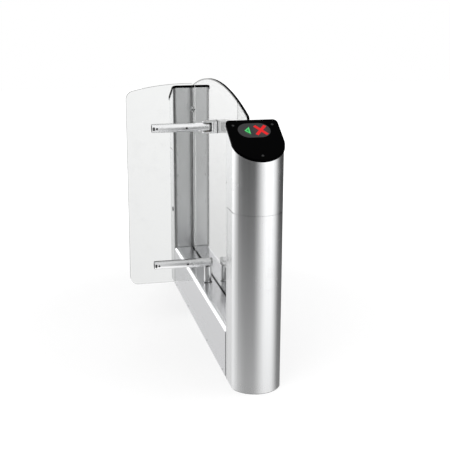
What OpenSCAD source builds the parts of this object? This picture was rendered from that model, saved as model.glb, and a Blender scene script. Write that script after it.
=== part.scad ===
// Swing turnstile: two D-shaped posts on a low plinth, an arched glass screen between them
// and one glass wing that swings on a vertical drive shaft.
// X points across the plinth, the wing reaches towards -X; Y runs along the plinth; Z is up.
// The origin is the middle of the footprint, on the floor. All sizes are in millimetres.

/* [Posts] */
// Height of a post at its inner edge, top plate included
post_h = 1000; // [900:10:1200]
// Width of a post and of the plinth
post_w = 188; // [180:2:196]
// Depth of a post from its flat inner face to its nose
post_d = 184; // [176:2:220]
// Distance between the two flat inner faces
post_gap = 1140; // [1100:10:1400]
// Sheet thickness of posts, doors and plinth covers
sheet_t = 2; // [1.5:0.1:2.5]
// Outer radius of the vertical bends beside the inner face
corner_r = 14; // [10:1:16]
// Radius of the nose where it leaves the straight sides
side_r = 70; // [66:1:74]
// Radius of the front of the nose
front_r = 100; // [98:1:104]
// Hairline gap around a door and between covers
seam = 0.7; // [0.4:0.1:1]

/* [Doors and locks] */
// Distance from the inner face to a door's upright edge
door_edge = 28; // [26:1:34]
// Height of a door's top edge
door_top = 686; // [600:1:700]
// Gap between a door and the floor
door_foot = 3; // [2:0.5:6]
// How far the post's inner lip reaches in behind the door edge
lip_w = 12; // [10:1:14]
// Distance from the inner face to the lock's axis
lock_y = 43; // [42:1:50]
// Height of the lock's axis
lock_z = 384; // [300:1:500]
// Radius of the lock's barrel
lock_r = 9; // [8:0.5:10]
// Depth of the lock's barrel behind the sheet
lock_deep = 18; // [16:1:20]

/* [Top plates] */
// Slope of the top plate, falling towards the nose, in degrees
slope = 30; // [26:1:32]
// Thickness of a top plate
plate_t = 9; // [8:0.5:12]
// How far a top plate stands out past the post all round
plate_over = 3.5; // [2:0.5:4]
// Distance of the two inner plate screws from the middle plane
plate_screw_x = 73; // [68:1:74]
// Distance of the inner plate screws down the slope
plate_screw_a = 28; // [26:1:32]
// Distance of the nose plate screw down the slope
plate_screw_nose = 198; // [190:1:199]
// Width of the display window
window_w = 120; // [110:1:124]
// Length of the display window down the slope
window_l = 80; // [74:1:84]
// Distance of the window's middle down the slope
window_a = 56; // [54:1:60]
// Thickness of the display window
window_t = 3; // [2.5:0.5:4]
// Width of the window's seat all round
window_seat = 7; // [6:1:9]

/* [Display signs] */
// Length of the arrow sign
arrow_l = 20; // [18:1:24]
// Half height of the arrow sign
arrow_h = 20; // [18:1:22]
// Distance of the arrow's middle from the middle plane
arrow_x = 26; // [25:1:28]
// Half width of the cross sign
cross_w = 20; // [18:1:21]
// Half length of the cross sign
cross_l = 25; // [22:1:26]
// Width of each bar of the cross
cross_bar = 12; // [10:1:13]
// Distance of the cross's middle from the middle plane
cross_x = 25; // [24:1:28]

/* [Plinth] */
// Height of the plinth
plinth_h = 196; // [190:1:210]
// Outer radius of the plinth's upper edges
plinth_r = 14; // [10:1:16]
// Distance of the inner cover screws from the middle
cover_screw_in = 215; // [190:1:240]
// Distance of the outer cover screws from the middle
cover_screw_out = 522; // [500:1:530]
// Height of the cover screws above the floor
cover_screw_z = 11; // [10.5:0.5:14]
// Thickness of the base plate
base_t = 6; // [5:0.5:8]
// Height of the edge bars on the base plate
edge_bar_h = 14; // [13:1:20]
// Thickness of the edge bars
edge_bar_t = 10; // [8:1:12]

/* [Floor fixing] */
// Spacing of the anchor holes across the post
anchor_x = 100; // [90:2:110]
// Spacing of the anchor holes along the post
anchor_y = 90; // [80:2:94]
// Distance from the inner face to the nearer anchor holes
anchor_in = 46; // [44:1:50]
// Radius of the anchor holes
anchor_r = 7; // [6:0.5:8]
// Radius of the cable entry in each base end
cable_entry_r = 22; // [18:1:24]

/* [Centre glass] */
// Thickness of the centre glass and of the wing glass
glass_t = 10; // [8:1:12]
// Length of the centre glass
screen_l = 1060; // [1020:10:1090]
// Height of the top of the arch
arch_h = 1083; // [1060:1:1120]
// Radius of the arch
arch_r = 1895; // [1800:5:2200]
// Radius of the glass corners under the arch
arch_corner = 12; // [6:1:20]
// Depth of the glass in its channel
glass_in = 26; // [22:1:28]
// Thickness of the rubber lips beside the glass
gasket_t = 2; // [1.5:0.5:3]
// Width of the dark filler strip in each post's inner face
strip_w = 10; // [8:1:14]
// Radius of the round glass holders
holder_r = 15; // [13:1:17]
// How deep the glass edge sits in a holder
holder_grip = 12; // [10:1:16]

/* [Wing] */
// Distance from the post side to the swing axis
axis_in = 50; // [48:1:52]
// Distance from the swing axis to the wing glass
wing_gap = 53; // [48:1:60]
// Width of the wing glass
wing_w = 290; // [200:5:340]
// Gap between the plinth and the wing glass
wing_foot = 14; // [11:1:20]
// Height of the highest point of the wing glass
wing_top = 1075; // [1040:1:1100]
// Radius of the wing's arched top edge
wing_arc = 1000; // [900:10:1400]
// Distance from the wing glass's inner edge to its highest point
wing_peak = 33; // [24:1:60]
// Radius of the wing's outer corners
wing_r = 36; // [25:1:45]
// Radius of the wing's inner corners
wing_r_in = 16; // [6:1:20]
// How far the wing swings each way, in degrees
swing = 90; // [80:1:90]

/* [Arms] */
// Outer radius of the arm tubes
arm_r = 19; // [18:0.5:20]
// Wall of the arm tubes
arm_wall = 2; // [1.5:0.1:2.5]
// Height of the lower arm's axis
arm_low = 290; // [280:1:330]
// Height of the upper arm's axis
arm_high = 890; // [850:1:920]
// Distance from the swing axis to the free end of an arm
arm_reach = 238; // [220:1:250]
// Radius of the upper arm's rounded end, round the swing axis
arm_nose = 20; // [19.5:0.5:20.5]
// Distance of the oval slots from an arm's free end
arm_eye_in = 7; // [6:0.5:9]
// Width of an oval slot
arm_eye_w = 9; // [6:0.5:10]
// Height of an oval slot
arm_eye_h = 16; // [12:1:18]
// Distance from the swing axis to the inner arm screws
arm_screw_in = 92; // [88:1:100]
// Distance from the swing axis to the outer arm screws
arm_screw_out = 218; // [200:1:220]
// Thickness of the rubber liner on each side of the wing glass
liner_t = 1; // [0.8:0.1:1.5]

/* [Upper hinge] */
// Radius of the hinge fork's rounded end
fork_r = 20; // [19:0.5:22]
// Thickness of the fork's two plates
fork_t = 6; // [5:0.5:8]
// Gap between the fork plates and the arm tube
fork_play = 1; // [0.8:0.1:1.5]
// Radius of the hinge pin
pin_r = 8; // [7:0.5:9]
// Thickness of the plate behind the glass
backing_t = 6; // [5:0.5:8]
// Thickness of the soft pads on both glass faces
pad_t = 1.5; // [1:0.5:2]

/* [Drive] */
// Radius of the visible shaft
shaft_r = 16; // [15:0.5:17]
// Height of the bare neck between the shaft's shoulder and the lower arm
shaft_neck = 3; // [2:0.5:4]
// Radius of the shaft in its bearings
journal_r = 12.5; // [12:0.5:13]
// Outer radius of the shaft bearings
bearing_r = 23.5; // [23:0.5:25]
// Width of the shaft bearings
bearing_w = 12; // [11:0.5:14]
// Tooth size (module) of the gears
gear_m = 1.5; // [1.5:0.05:1.55]
// Teeth on the shaft's gear
gear_teeth = 54; // [51:3:54]
// Teeth on the motor's pinion
pinion_teeth = 18; // [17:1:18]
// Width of the gear
gear_w = 12; // [10:1:12]
// Radius of the motor and of its gearbox
motor_r = 26; // [24:0.5:27]
// Length of the gearbox
gearbox_l = 40; // [36:1:42]
// Length of the motor
motor_l = 58; // [50:1:60]
// Length of the brake on top of the motor
brake_l = 16; // [14:1:18]
// Height of the pillars under the drive plate
pillar_h = 46; // [44:1:48]
// Thickness of the drive plate
drive_t = 14; // [13.5:0.5:16]

/* [Inside the posts] */
// Width of the control box and of the power supply
box_w = 110; // [90:2:120]
// Depth of the control box and of the power supply
box_d = 44; // [30:1:46]
// Height of the control box
control_h = 190; // [120:10:220]
// Height of the control box's underside above the floor
control_z = 430; // [420:10:460]
// Radius of the control box's cable glands
gland_r = 8; // [6:0.5:10]
// Height of the power supply
supply_h = 125; // [90:5:130]
// Height of the power supply's underside above the floor
supply_z = 60; // [50:5:64]

/* [Fits] */
// Radial clearance of a turning fit
run_fit = 0.05; // [0.02:0.01:0.1]
// Clearance between pieces that only touch
sit_fit = 0.1; // [0.05:0.05:0.2]

/* [Hidden] */
$fn = 96;
far = 600;
half_gap = post_gap / 2;
half_w = post_w / 2;
side_x = half_w - side_r;
nose_drop = sqrt(pow(front_r - side_r, 2) - pow(side_x, 2));
side_y = post_d - front_r + nose_drop;
front_y = side_y - nose_drop;
axis_x = -(half_w - axis_in);
slot_w = glass_t + 2 * gasket_t;
channel_wall = 3;
channel_floor = 4;
channel_lip = 17;
channel_top = plinth_h - sheet_t;
channel_low = channel_top - glass_in - gasket_t - channel_floor;
shell_cut = plate_t / cos(slope);
arm_slot = glass_t + 2 * liner_t;
wing_in = axis_x - wing_gap;
wing_out = wing_in - wing_w;
wing_low = plinth_h + wing_foot;
arm_end = axis_x - arm_reach;
neck_low = arm_low - arm_r - shaft_neck;
screw_r = 3;
screw_head_r = 4.5;
hex_r = 2.4;
gear_r = gear_m * gear_teeth / 2;
pinion_r = gear_m * pinion_teeth / 2;
motor_y = gear_r + pinion_r;
block_h = 18;
block_foot = bearing_r + 20;
block_bolt_y = bearing_r + 13;
bearing_low = base_t + 4;
gear_low = base_t + 26;
drive_low = base_t + pillar_h;
drive_top = drive_low + drive_t;
bearing_high = drive_top - bearing_w;
pillar_r = 7;
pillar_x = 26;
pillar_y0 = -46;
pillar_y1 = motor_y + 28;
lever_low = drive_top + 8;
lever_t = 8;
lever_half = 5;
lever_l = 38;
buffer_r = 6;
buffer_x = 28;
buffer_y = lever_half + 0.5 + buffer_r;
wire_hole_r = 10;
wire_hole_x = 60;
wire_hole_z = base_t + 24;
hook_h = 40;
hook_low = base_t + 84;
hook_high = door_top - 115;
tie_w = 80;
tie_t = 4;
tie_foot = 20;
tie_h = 24;
tie_screw_z = base_t + 14;
tie_screws = [-25, 25];
bracket_ys = [-470, -200, 200, 470];
bracket_t = 8;
bracket_foot = 16;
bracket_foot_t = 5;
bracket_x0 = -22;
bracket_x1 = 44;
holder_z = arm_high;
stud_r = 4;
stud_l = 12;
set_screw_r = 2.5;
fork_top = arm_high + arm_r + fork_play + fork_t;
fork_low = arm_high - arm_r - fork_play - fork_t;
web_x = -glass_t / 2 - pad_t;
web_t = 14;
hinge_bolt_z = 18;
hinge_bolt_r = 4;
bush_wall = 2;
bush_rim = 0.6;
sensor_r = 3;
sensor_y = 17.5;
sensor_z = 778;

// Plan of a post, inner face on y = 0 and nose towards +y; a positive inset makes it smaller
module post_plan(inset = 0) {
    w = half_w - inset;
    c = max(corner_r - inset, 0.5);
    reach = 2 * front_r / (front_r - side_r);
    translate([-w, inset + c]) square([2 * w, side_y - inset - c]);
    translate([-w + c, inset]) square([2 * (w - c), c + 0.01]);
    for (s = [-1, 1]) translate([s * (w - c), inset + c]) circle(c);
    for (s = [-1, 1]) translate([s * side_x, side_y]) circle(side_r - inset);
    intersection() {
        translate([0, front_y]) circle(front_r - inset);
        polygon([
            [0, front_y],
            [side_x * reach, front_y + nose_drop * reach],
            [-side_x * reach, front_y + nose_drop * reach]
        ]);
    }
}

// Upright tube that follows the post's plan, between two insets and two heights
module post_ring(outer, inner, low, high) {
    translate([0, 0, low]) linear_extrude(high - low) difference() {
        post_plan(outer);
        post_plan(inner);
    }
}

// The far post stands at +Y; the near post is the same, turned half round
module at_far() { translate([0, half_gap, 0]) children(); }
module at_near() { rotate([0, 0, 180]) at_far() children(); }
// Displays keep their left and right, so the near one is mirrored and not turned
module at_near_mirrored() { mirror([0, 1, 0]) at_far() children(); }
module both_posts() { for (s = [0, 180]) rotate(s) at_far() children(); }
module both_displays() { for (s = [0, 1]) mirror([0, s, 0]) at_far() children(); }

// Frame on the sloped top: x across, y down the slope, z out of the plate
module on_slope() { translate([0, 0, post_h]) rotate([-slope, 0, 0]) children(); }

// Everything above a plane parallel to the slope
module above_slope(depth) {
    on_slope() translate([-far / 2, -far / 4, -depth]) cube([far, far, far / 2]);
}

module stadium(w, l) {
    r = min(w, l) / 2;
    for (s = [-1, 1]) translate([s * (w / 2 - r), 0]) circle(r);
    square([w - 2 * r, 2 * r], center = true);
}

module door_zone(grow, top) {
    translate([-half_w - 10, door_edge - grow, -1]) cube([post_w + 20, post_d, top + grow + 1]);
}

// Post shell: bent sheet, open in the lower nose where the door sits
module post_shell() {
    difference() {
        union() {
            difference() {
                post_ring(0, sheet_t, 0, post_h);
                above_slope(plate_t);
                door_zone(seam, door_top);
            }
            // Upright lips behind the door edges
            for (s = [-1, 1]) translate([s > 0 ? half_w - sheet_t - lip_w : -half_w + sheet_t / 2,
                door_edge - seam - sheet_t, base_t + sit_fit])
                cube([lip_w + sheet_t / 2, sheet_t, door_top - base_t - sit_fit + seam]);
            // Level lip above the door
            intersection() {
                post_ring(sheet_t / 2, sheet_t + lip_w, door_top + seam, door_top + seam + sheet_t);
                translate([-half_w, door_edge - seam - sheet_t, 0]) cube([post_w, post_d, post_h]);
            }
            lock_keeper();
            plate_lugs();
        }
        // Slot for the filler strip
        translate([-strip_w / 2, -1, plinth_h]) cube([strip_w, sheet_t + 2, post_h]);
        for (x = [-wire_hole_x, wire_hole_x]) translate([x, -1, wire_hole_z]) rotate([-90, 0, 0])
            cylinder(r = wire_hole_r, h = sheet_t + 2);
        for (x = tie_screws) translate([x, -1, tie_screw_z]) rotate([-90, 0, 0])
            cylinder(r = screw_r + sit_fit, h = sheet_t + 2);
        translate([-half_w - 1, sensor_y, sensor_z]) rotate([0, 90, 0])
            cylinder(r = sensor_r + sit_fit, h = post_w + 2);
        // The base plate runs in under the inner face here
        translate([-half_w + corner_r, -1, -1])
            cube([post_w - 2 * corner_r, sheet_t + 2, base_t + sit_fit + 1]);
    }
}

// Catch that the lock's cam turns behind, welded to the lip on the lock side
module lock_keeper() {
    x0 = -half_w + sheet_t + lip_w;
    low = lock_z + lock_r + 5;
    tall = 16;
    out = lock_y + 6;
    translate([x0 - sheet_t, door_edge - seam - sheet_t, low])
        cube([sheet_t, out + sheet_t - door_edge + seam + sheet_t, tall]);
    translate([x0 - sheet_t, out, low]) cube([12, sheet_t, tall]);
}

// Welded lugs under the top plate that take its screws
module plate_lugs() {
    lug = 16;
    deep = 12;
    difference() {
        intersection() {
            on_slope() union() {
                for (s = [-1, 1]) translate([s * (plate_screw_x + lug / 2) - lug, plate_screw_a - lug / 2,
                    -plate_t - deep]) cube([2 * lug, lug, deep]);
                translate([-lug / 2, plate_screw_nose - lug / 2, -plate_t - deep])
                    cube([lug, 2 * lug, deep]);
            }
            linear_extrude(post_h) post_plan(sheet_t / 2);
        }
        plate_holes(screw_r - sit_fit, plate_t + deep + 1);
    }
}

module plate_holes(r, deep) {
    on_slope() {
        for (s = [-1, 1]) translate([s * plate_screw_x, plate_screw_a, -deep])
            cylinder(r = r, h = deep + 1);
        translate([0, plate_screw_nose, -deep]) cylinder(r = r, h = deep + 1);
    }
}

// Lower door: the nose of the post below door_top, with hooks on the side away from the lock
module post_door() {
    difference() {
        union() {
            intersection() {
                post_ring(0, sheet_t, door_foot, door_top);
                door_zone(0, door_top);
            }
            for (z = [hook_low, hook_high]) door_hook(z);
            // Stiffening flange along the top edge
            intersection() {
                post_ring(sheet_t / 2, sheet_t + lip_w, door_top - sheet_t, door_top);
                translate([-half_w, lock_y + 25, 0]) cube([post_w, post_d, post_h]);
            }
        }
        translate([-half_w - 1, lock_y, lock_z]) rotate([0, 90, 0])
            cylinder(r = lock_r + sit_fit, h = sheet_t + 2);
    }
}

module door_hook(z) {
    tall = hook_h;
    x_in = half_w - sheet_t - lip_w - 2 * sheet_t;
    y_back = door_edge - seam - 2 * sheet_t - 0.5;
    y_front = door_edge + 3;
    translate([x_in, y_front, z]) cube([half_w - sheet_t / 2 - x_in, sheet_t, tall]);
    translate([x_in, y_back, z]) cube([sheet_t, y_front - y_back + sheet_t, tall]);
    translate([x_in, y_back, z]) cube([sheet_t + 6, sheet_t, tall]);
}

module on_lock() { translate([-half_w, lock_y, lock_z]) rotate([0, 90, 0]) children(); }

plug_r = 6;
flange_t = 2;
cam_t = 3;
cam_w = 10;

module lock_barrel() {
    difference() {
        union() {
            translate([0, 0, -flange_t]) cylinder(r = lock_r + 2.5, h = flange_t);
            cylinder(r = lock_r, h = lock_deep);
            translate([0, 0, sheet_t + sit_fit]) cylinder(r = lock_r + 3, h = 4);
        }
        translate([0, 0, -flange_t - 1]) cylinder(r = plug_r + run_fit, h = lock_deep + flange_t + 2);
    }
}

// Plug with key slot; its cam points up while the door is locked
module lock_plug() {
    cam_l = 28;
    difference() {
        translate([0, 0, -flange_t + 0.3]) cylinder(r = plug_r, h = lock_deep + flange_t + cam_t);
        translate([-4, -0.8, -flange_t - 1]) cube([8, 1.6, 8]);
    }
    translate([0, 0, lock_deep + 0.4]) {
        cylinder(r = plug_r + 1.5, h = cam_t);
        translate([-cam_l, -cam_w / 2, 0]) cube([cam_l, cam_w, cam_t]);
    }
}

module top_plate() {
    difference() {
        intersection() {
            linear_extrude(post_h + 20) post_plan(-plate_over);
            on_slope() translate([-far / 2, -far / 4, -plate_t]) cube([far, far, plate_t]);
        }
        on_slope() translate([0, window_a, -window_t]) linear_extrude(window_t + 1)
            stadium(window_w, window_l);
        on_slope() translate([0, window_a, -plate_t - 1]) linear_extrude(plate_t)
            stadium(window_w - 2 * window_seat, window_l - 2 * window_seat);
        plate_holes(screw_r + sit_fit, plate_t + 1);
    }
    // Pegs that carry the display board
    on_slope() for (x = [-1, 1], y = [-1, 1])
        translate([x * board_peg_x, window_a + y * board_peg_y, -plate_t - peg_l])
            cylinder(r = peg_r, h = peg_l);
}

peg_l = 10;
peg_r = 2;
board_w = 124;
board_l = 76;
board_t = 1.6;
board_gap = 5;
board_peg_x = board_w / 2 - 5;
board_peg_y = board_l / 2 - 5;

// Window with openings for the two signs
module display_window() {
    on_slope() translate([0, window_a, -window_t]) difference() {
        linear_extrude(window_t) stadium(window_w - 2 * sit_fit, window_l - 2 * sit_fit);
        translate([0, 0, -1]) linear_extrude(window_t + 2) arrow_sign(0);
        translate([0, 0, -1]) linear_extrude(window_t + 2) cross_sign(0);
    }
}

// Arrow head that points towards the lane
module arrow_sign(inset) {
    half_l = arrow_l / 2 - inset;
    half_h = arrow_h - 2 * inset;
    translate([-arrow_x, 0]) polygon([[-half_l - inset / 2, 0], [half_l, half_h], [half_l, -half_h]]);
}

module cross_sign(inset) {
    tilt = atan2(cross_l, cross_w);
    bar_l = 2 * norm([cross_w, cross_l]);
    translate([cross_x, 0]) for (s = [-1, 1]) rotate(s * tilt)
        square([bar_l - 2 * inset, cross_bar - 2 * inset], center = true);
}

// The signs stand on the board and fill the window's openings flush
module sign_lens(kind) {
    on_slope() translate([0, window_a, -window_t]) linear_extrude(window_t)
        if (kind == "arrow") arrow_sign(sit_fit); else cross_sign(sit_fit);
}

// Circuit board with one lamp block under each sign
module display_board() {
    low = -plate_t - board_gap - board_t;
    on_slope() translate([0, window_a, 0]) {
        difference() {
            translate([-board_w / 2, -board_l / 2, low]) cube([board_w, board_l, board_t]);
            for (x = [-1, 1], y = [-1, 1]) translate([x * board_peg_x, y * board_peg_y, low - 1])
                cylinder(r = peg_r + sit_fit, h = board_t + 2);
        }
        translate([0, 0, low + board_t - 0.01]) linear_extrude(-window_t - low - board_t)
            intersection() {
                stadium(window_w - 2 * window_seat - 2, window_l - 2 * window_seat - 2);
                for (s = [-1, 1]) translate([s * (window_w + 8) / 4, 0])
                    square([window_w / 2, window_l], center = true);
            }
    }
}

module screw(r, head_r, head_h, length) {
    difference() {
        union() {
            cylinder(r = head_r, h = head_h);
            translate([0, 0, -length]) cylinder(r = r, h = length + 0.01);
        }
        translate([0, 0, head_h / 2]) cylinder(r = head_r / 2, h = head_h, $fn = 6);
    }
}

module plate_screws() {
    on_slope() {
        for (s = [-1, 1]) translate([s * plate_screw_x, plate_screw_a, 0])
            screw(screw_r - 2 * sit_fit, screw_head_r, 2, plate_t + 8);
        translate([0, plate_screw_nose, 0]) screw(screw_r - 2 * sit_fit, screw_head_r, 2, plate_t + 8);
    }
}

// Steel plate under posts and plinth
module base_plate() {
    difference() {
        union() {
            translate([-half_w + sheet_t + sit_fit, -half_gap + sit_fit, 0])
                cube([post_w - 2 * sheet_t - 2 * sit_fit, post_gap - 2 * sit_fit, base_t]);
            for (s = [0, 180]) rotate(s) at_far() {
                linear_extrude(base_t) post_plan(sheet_t + sit_fit);
                translate([-half_w + corner_r + sit_fit, -1, 0])
                    cube([post_w - 2 * corner_r - 2 * sit_fit, corner_r, base_t]);
            }
        }
        for (s = [0, 180]) rotate(s) at_far() {
            for (x = [-1, 1], y = [0, 1]) translate([x * anchor_x / 2, anchor_in + y * anchor_y, -1])
                cylinder(r = anchor_r, h = base_t + 2);
            translate([0, anchor_in + anchor_y / 2, -1]) cylinder(r = cable_entry_r, h = base_t + 2);
        }
        for (s = [-1, 1]) translate([axis_x, s * block_bolt_y, -1]) cylinder(r = screw_r + sit_fit, h = 10);
    }
}

// Bars along both edges of the base plate, which the covers are screwed to
module edge_bars() {
    difference() {
        for (s = [-1, 1]) translate([s > 0 ? half_w - sheet_t - sit_fit - edge_bar_t
            : -half_w + sheet_t + sit_fit, -half_gap + 1, base_t])
            cube([edge_bar_t, post_gap - 2, edge_bar_h]);
        cover_screw_holes(screw_r - 2 * sit_fit, edge_bar_t + 1);
    }
}

// Angle bracket that the post's inner face is screwed to
module post_bracket() {
    difference() {
        translate([-tie_w / 2, sheet_t + sit_fit, base_t]) union() {
            cube([tie_w, tie_t, tie_h]);
            cube([tie_w, tie_foot, tie_t]);
        }
        for (x = tie_screws) translate([x, 0, tie_screw_z]) rotate([-90, 0, 0])
            cylinder(r = screw_r, h = sheet_t + tie_t + 2);
    }
}

module cover_screw_holes(r, deep) {
    for (s = [-1, 1], y = [-cover_screw_out, -cover_screw_in, cover_screw_in, cover_screw_out])
        translate([s * (half_w + 1), y, cover_screw_z]) rotate([0, -s * 90, 0])
            cylinder(r = r, h = deep + sheet_t + 1);
}

// Folded cover: side, rounded upper edge and half of the top, seen along the plinth
module cover_profile() {
    difference() {
        union() {
            translate([-half_w, 1]) square([half_w, plinth_h - plinth_r - 1]);
            translate([-half_w + plinth_r, 1]) square([half_w - plinth_r, plinth_h - 1]);
            translate([-half_w + plinth_r, plinth_h - plinth_r]) circle(plinth_r);
        }
        translate([-half_w + sheet_t, 0]) square([half_w, plinth_h - plinth_r]);
        translate([-half_w + plinth_r, 0]) square([half_w, plinth_h - sheet_t]);
        translate([-half_w + plinth_r, plinth_h - plinth_r]) circle(plinth_r - sheet_t);
        translate([-slot_w / 2 - sit_fit, 0]) square([half_w, 2 * plinth_h]);
    }
}

module plinth_cover(side) {
    difference() {
        mirror([side > 0 ? 1 : 0, 0, 0]) translate([0, half_gap - seam / 2, 0]) rotate([90, 0, 0])
            linear_extrude(post_gap - seam) cover_profile();
        cover_screw_holes(screw_r + sit_fit, sheet_t);
        translate([axis_x, 0, plinth_h - 10]) cylinder(r = shaft_r + 1, h = 20);
    }
}

module cover_screws() {
    for (s = [-1, 1], y = [-cover_screw_out, -cover_screw_in, cover_screw_in, cover_screw_out])
        translate([s * half_w, y, cover_screw_z]) rotate([0, s * 90, 0])
            screw(screw_r - 3 * sit_fit, screw_head_r, 2, edge_bar_t);
}

module post_fixing_screws() {
    for (x = tie_screws) translate([x, 0, tie_screw_z]) rotate([90, 0, 0])
        screw(screw_r - sit_fit, screw_head_r, 3, sheet_t + tie_t);
}

module glass_channel() {
    translate([0, half_gap - 1, 0]) rotate([90, 0, 0]) linear_extrude(post_gap - 2) difference() {
        union() {
            translate([-slot_w / 2 - channel_wall, channel_low])
                square([slot_w + 2 * channel_wall, channel_top - channel_low]);
            translate([-channel_lip, channel_top - channel_wall])
                square([2 * channel_lip, channel_wall]);
        }
        translate([-slot_w / 2, channel_low + channel_floor]) square([slot_w, plinth_h]);
    }
}

module channel_brackets() {
    for (y = bracket_ys) translate([0, y - bracket_t / 2, 0]) {
        translate([bracket_x0, 0, base_t]) cube([bracket_x1 - bracket_x0, bracket_t, channel_low - base_t]);
        translate([bracket_x0, -bracket_foot, base_t])
            cube([bracket_x1 - bracket_x0, bracket_t + 2 * bracket_foot, bracket_foot_t]);
    }
}

module glass_gasket() {
    translate([0, half_gap - 1, 0]) rotate([90, 0, 0]) linear_extrude(post_gap - 2) difference() {
        translate([-slot_w / 2, channel_low + channel_floor])
            square([slot_w, plinth_h + 0.6 - channel_low - channel_floor]);
        translate([-glass_t / 2, channel_low + channel_floor + gasket_t]) square([glass_t, plinth_h]);
    }
}

// Plate with an arched top edge and rounded corners; apex and arc are given by the caller
module arched_plate(left, right, low, apex_x, apex_z, arc, r_left, r_right, r_foot_l, r_foot_r) {
    cz = apex_z - arc;
    lx = left + r_left;
    lz = cz + sqrt(pow(arc - r_left, 2) - pow(lx - apex_x, 2));
    rx = right - r_right;
    rz = cz + sqrt(pow(arc - r_right, 2) - pow(rx - apex_x, 2));
    mid = (left + right) / 2;
    k = 1.2;
    intersection() {
        translate([apex_x, cz]) circle(arc, $fn = 720);
        polygon([
            [apex_x, cz],
            [apex_x + k * (lx - apex_x), cz + k * (lz - cz)],
            [apex_x + k * (rx - apex_x), cz + k * (rz - cz)]
        ]);
        translate([left, (low + apex_z) / 2]) square([right - left, apex_z]);
    }
    translate([lx, lz]) circle(r_left);
    translate([rx, rz]) circle(r_right);
    translate([left, low + r_foot_l]) square([mid - left + 0.01, lz - low - r_foot_l]);
    translate([mid, low + r_foot_r]) square([right - mid, rz - low - r_foot_r]);
    translate([left + r_foot_l, low]) square([right - left - r_foot_l - r_foot_r, low / 2]);
    translate([left + r_foot_l, low + r_foot_l]) circle(r_foot_l);
    translate([right - r_foot_r, low + r_foot_r]) circle(r_foot_r);
}

module centre_glass() {
    half_l = screen_l / 2;
    difference() {
        translate([-glass_t / 2, 0, 0]) rotate([90, 0, 90]) linear_extrude(glass_t)
            arched_plate(-half_l, half_l, channel_low + channel_floor + gasket_t, 0, arch_h, arch_r,
                arch_corner, arch_corner, 2, 2);
        for (s = [-1, 1]) translate([-glass_t, 0, arm_high + s * hinge_bolt_z]) rotate([0, 90, 0])
            cylinder(r = hinge_bolt_r + 1, h = 2 * glass_t);
    }
}

// Slotted round bar that stands on a post and grips the upright edge of the glass
module glass_holder() {
    bar_l = half_gap - screen_l / 2 + holder_grip;
    translate([0, stud_l, holder_z]) rotate([90, 0, 0]) cylinder(r = stud_r, h = stud_l + 1);
    difference() {
        translate([0, 0, holder_z]) rotate([90, 0, 0]) cylinder(r = holder_r, h = bar_l);
        translate([-glass_t / 2 - sit_fit, -bar_l - 1, holder_z - holder_r - 1])
            cube([glass_t + 2 * sit_fit, holder_grip + 1 + sit_fit, 2 * holder_r + 2]);
        translate([-holder_r - 1, -bar_l + holder_grip / 2, holder_z]) rotate([0, 90, 0])
            cylinder(r = set_screw_r + sit_fit, h = holder_r);
    }
}

// Set screw in the holder's cheek and the nut behind the post's inner face
module holder_fixings() {
    for (s = [0, 180]) rotate(s) at_far() {
        translate([0, 2 * sheet_t + 2 * sit_fit, holder_z]) rotate([-90, 0, 0]) difference() {
            cylinder(r = 8, h = 6, $fn = 6);
            translate([0, 0, -1]) cylinder(r = stud_r + sit_fit / 2, h = 8);
        }
        translate([-holder_r, screen_l / 2 - half_gap - holder_grip / 2, holder_z])
            rotate([0, 90, 0]) difference() {
                cylinder(r = set_screw_r, h = holder_r - glass_t / 2 - sit_fit);
                translate([0, 0, -1]) cylinder(r = 1.2, h = 4, $fn = 6);
            }
    }
}

module sensor_lens_pair() {
    for (x = [-1, 1]) translate([x * half_w, sensor_y, sensor_z]) rotate([0, x * 90, 0])
        translate([0, 0, -sheet_t - 4]) {
            cylinder(r = sensor_r, h = sheet_t + 4.5);
            cylinder(r = sensor_r + 2, h = 4 - sit_fit);
        }
}

// Dark filler strip in the slot of a post's inner face
module post_strip() {
    difference() {
        union() {
            translate([-strip_w / 2 + sit_fit, 0, plinth_h + 0.3])
                cube([strip_w - 2 * sit_fit, sheet_t + 0.2, post_h]);
            translate([-strip_w / 2 - 4, sheet_t + sit_fit, plinth_h + 0.3])
                cube([strip_w + 8, sheet_t, post_h]);
        }
        above_slope(plate_t + sit_fit);
        translate([0, -1, holder_z]) rotate([-90, 0, 0]) cylinder(r = stud_r + sit_fit, h = 10);
    }
}

// Fork bolted to the centre glass; the upper arm turns between its two plates
module hinge_fork() {
    gap_low = fork_low + fork_t;
    gap_h = 2 * (arm_r + fork_play);
    difference() {
        union() {
            translate([axis_x, 0, fork_low]) cylinder(r = fork_r, h = fork_top - fork_low);
            translate([axis_x, -fork_r, fork_low])
                cube([web_x - axis_x, 2 * fork_r, fork_top - fork_low]);
        }
        translate([axis_x - far / 2, -fork_r - 1, gap_low])
            cube([far / 2 + web_x - web_t - axis_x, 2 * fork_r + 2, gap_h]);
        translate([axis_x, 0, fork_low - 1])
            cylinder(r = pin_r + bush_wall, h = fork_top - fork_low + 2);
        for (s = [-1, 1]) translate([web_x - web_t + 1, 0, arm_high + s * hinge_bolt_z])
            rotate([0, 90, 0]) cylinder(r = hinge_bolt_r, h = web_t);
    }
}

module fork_face(t) {
    difference() {
        translate([0, -fork_r, fork_low]) cube([t, 2 * fork_r, fork_top - fork_low]);
        for (s = [-1, 1]) translate([-1, 0, arm_high + s * hinge_bolt_z]) rotate([0, 90, 0])
            cylinder(r = hinge_bolt_r + sit_fit, h = t + 2);
    }
}

module fork_pads() {
    for (s = [0, 1]) mirror([s, 0, 0]) translate([glass_t / 2, 0, 0]) fork_face(pad_t);
}

module fork_backing_plate() {
    translate([glass_t / 2 + pad_t, 0, 0]) fork_face(backing_t);
}

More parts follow.
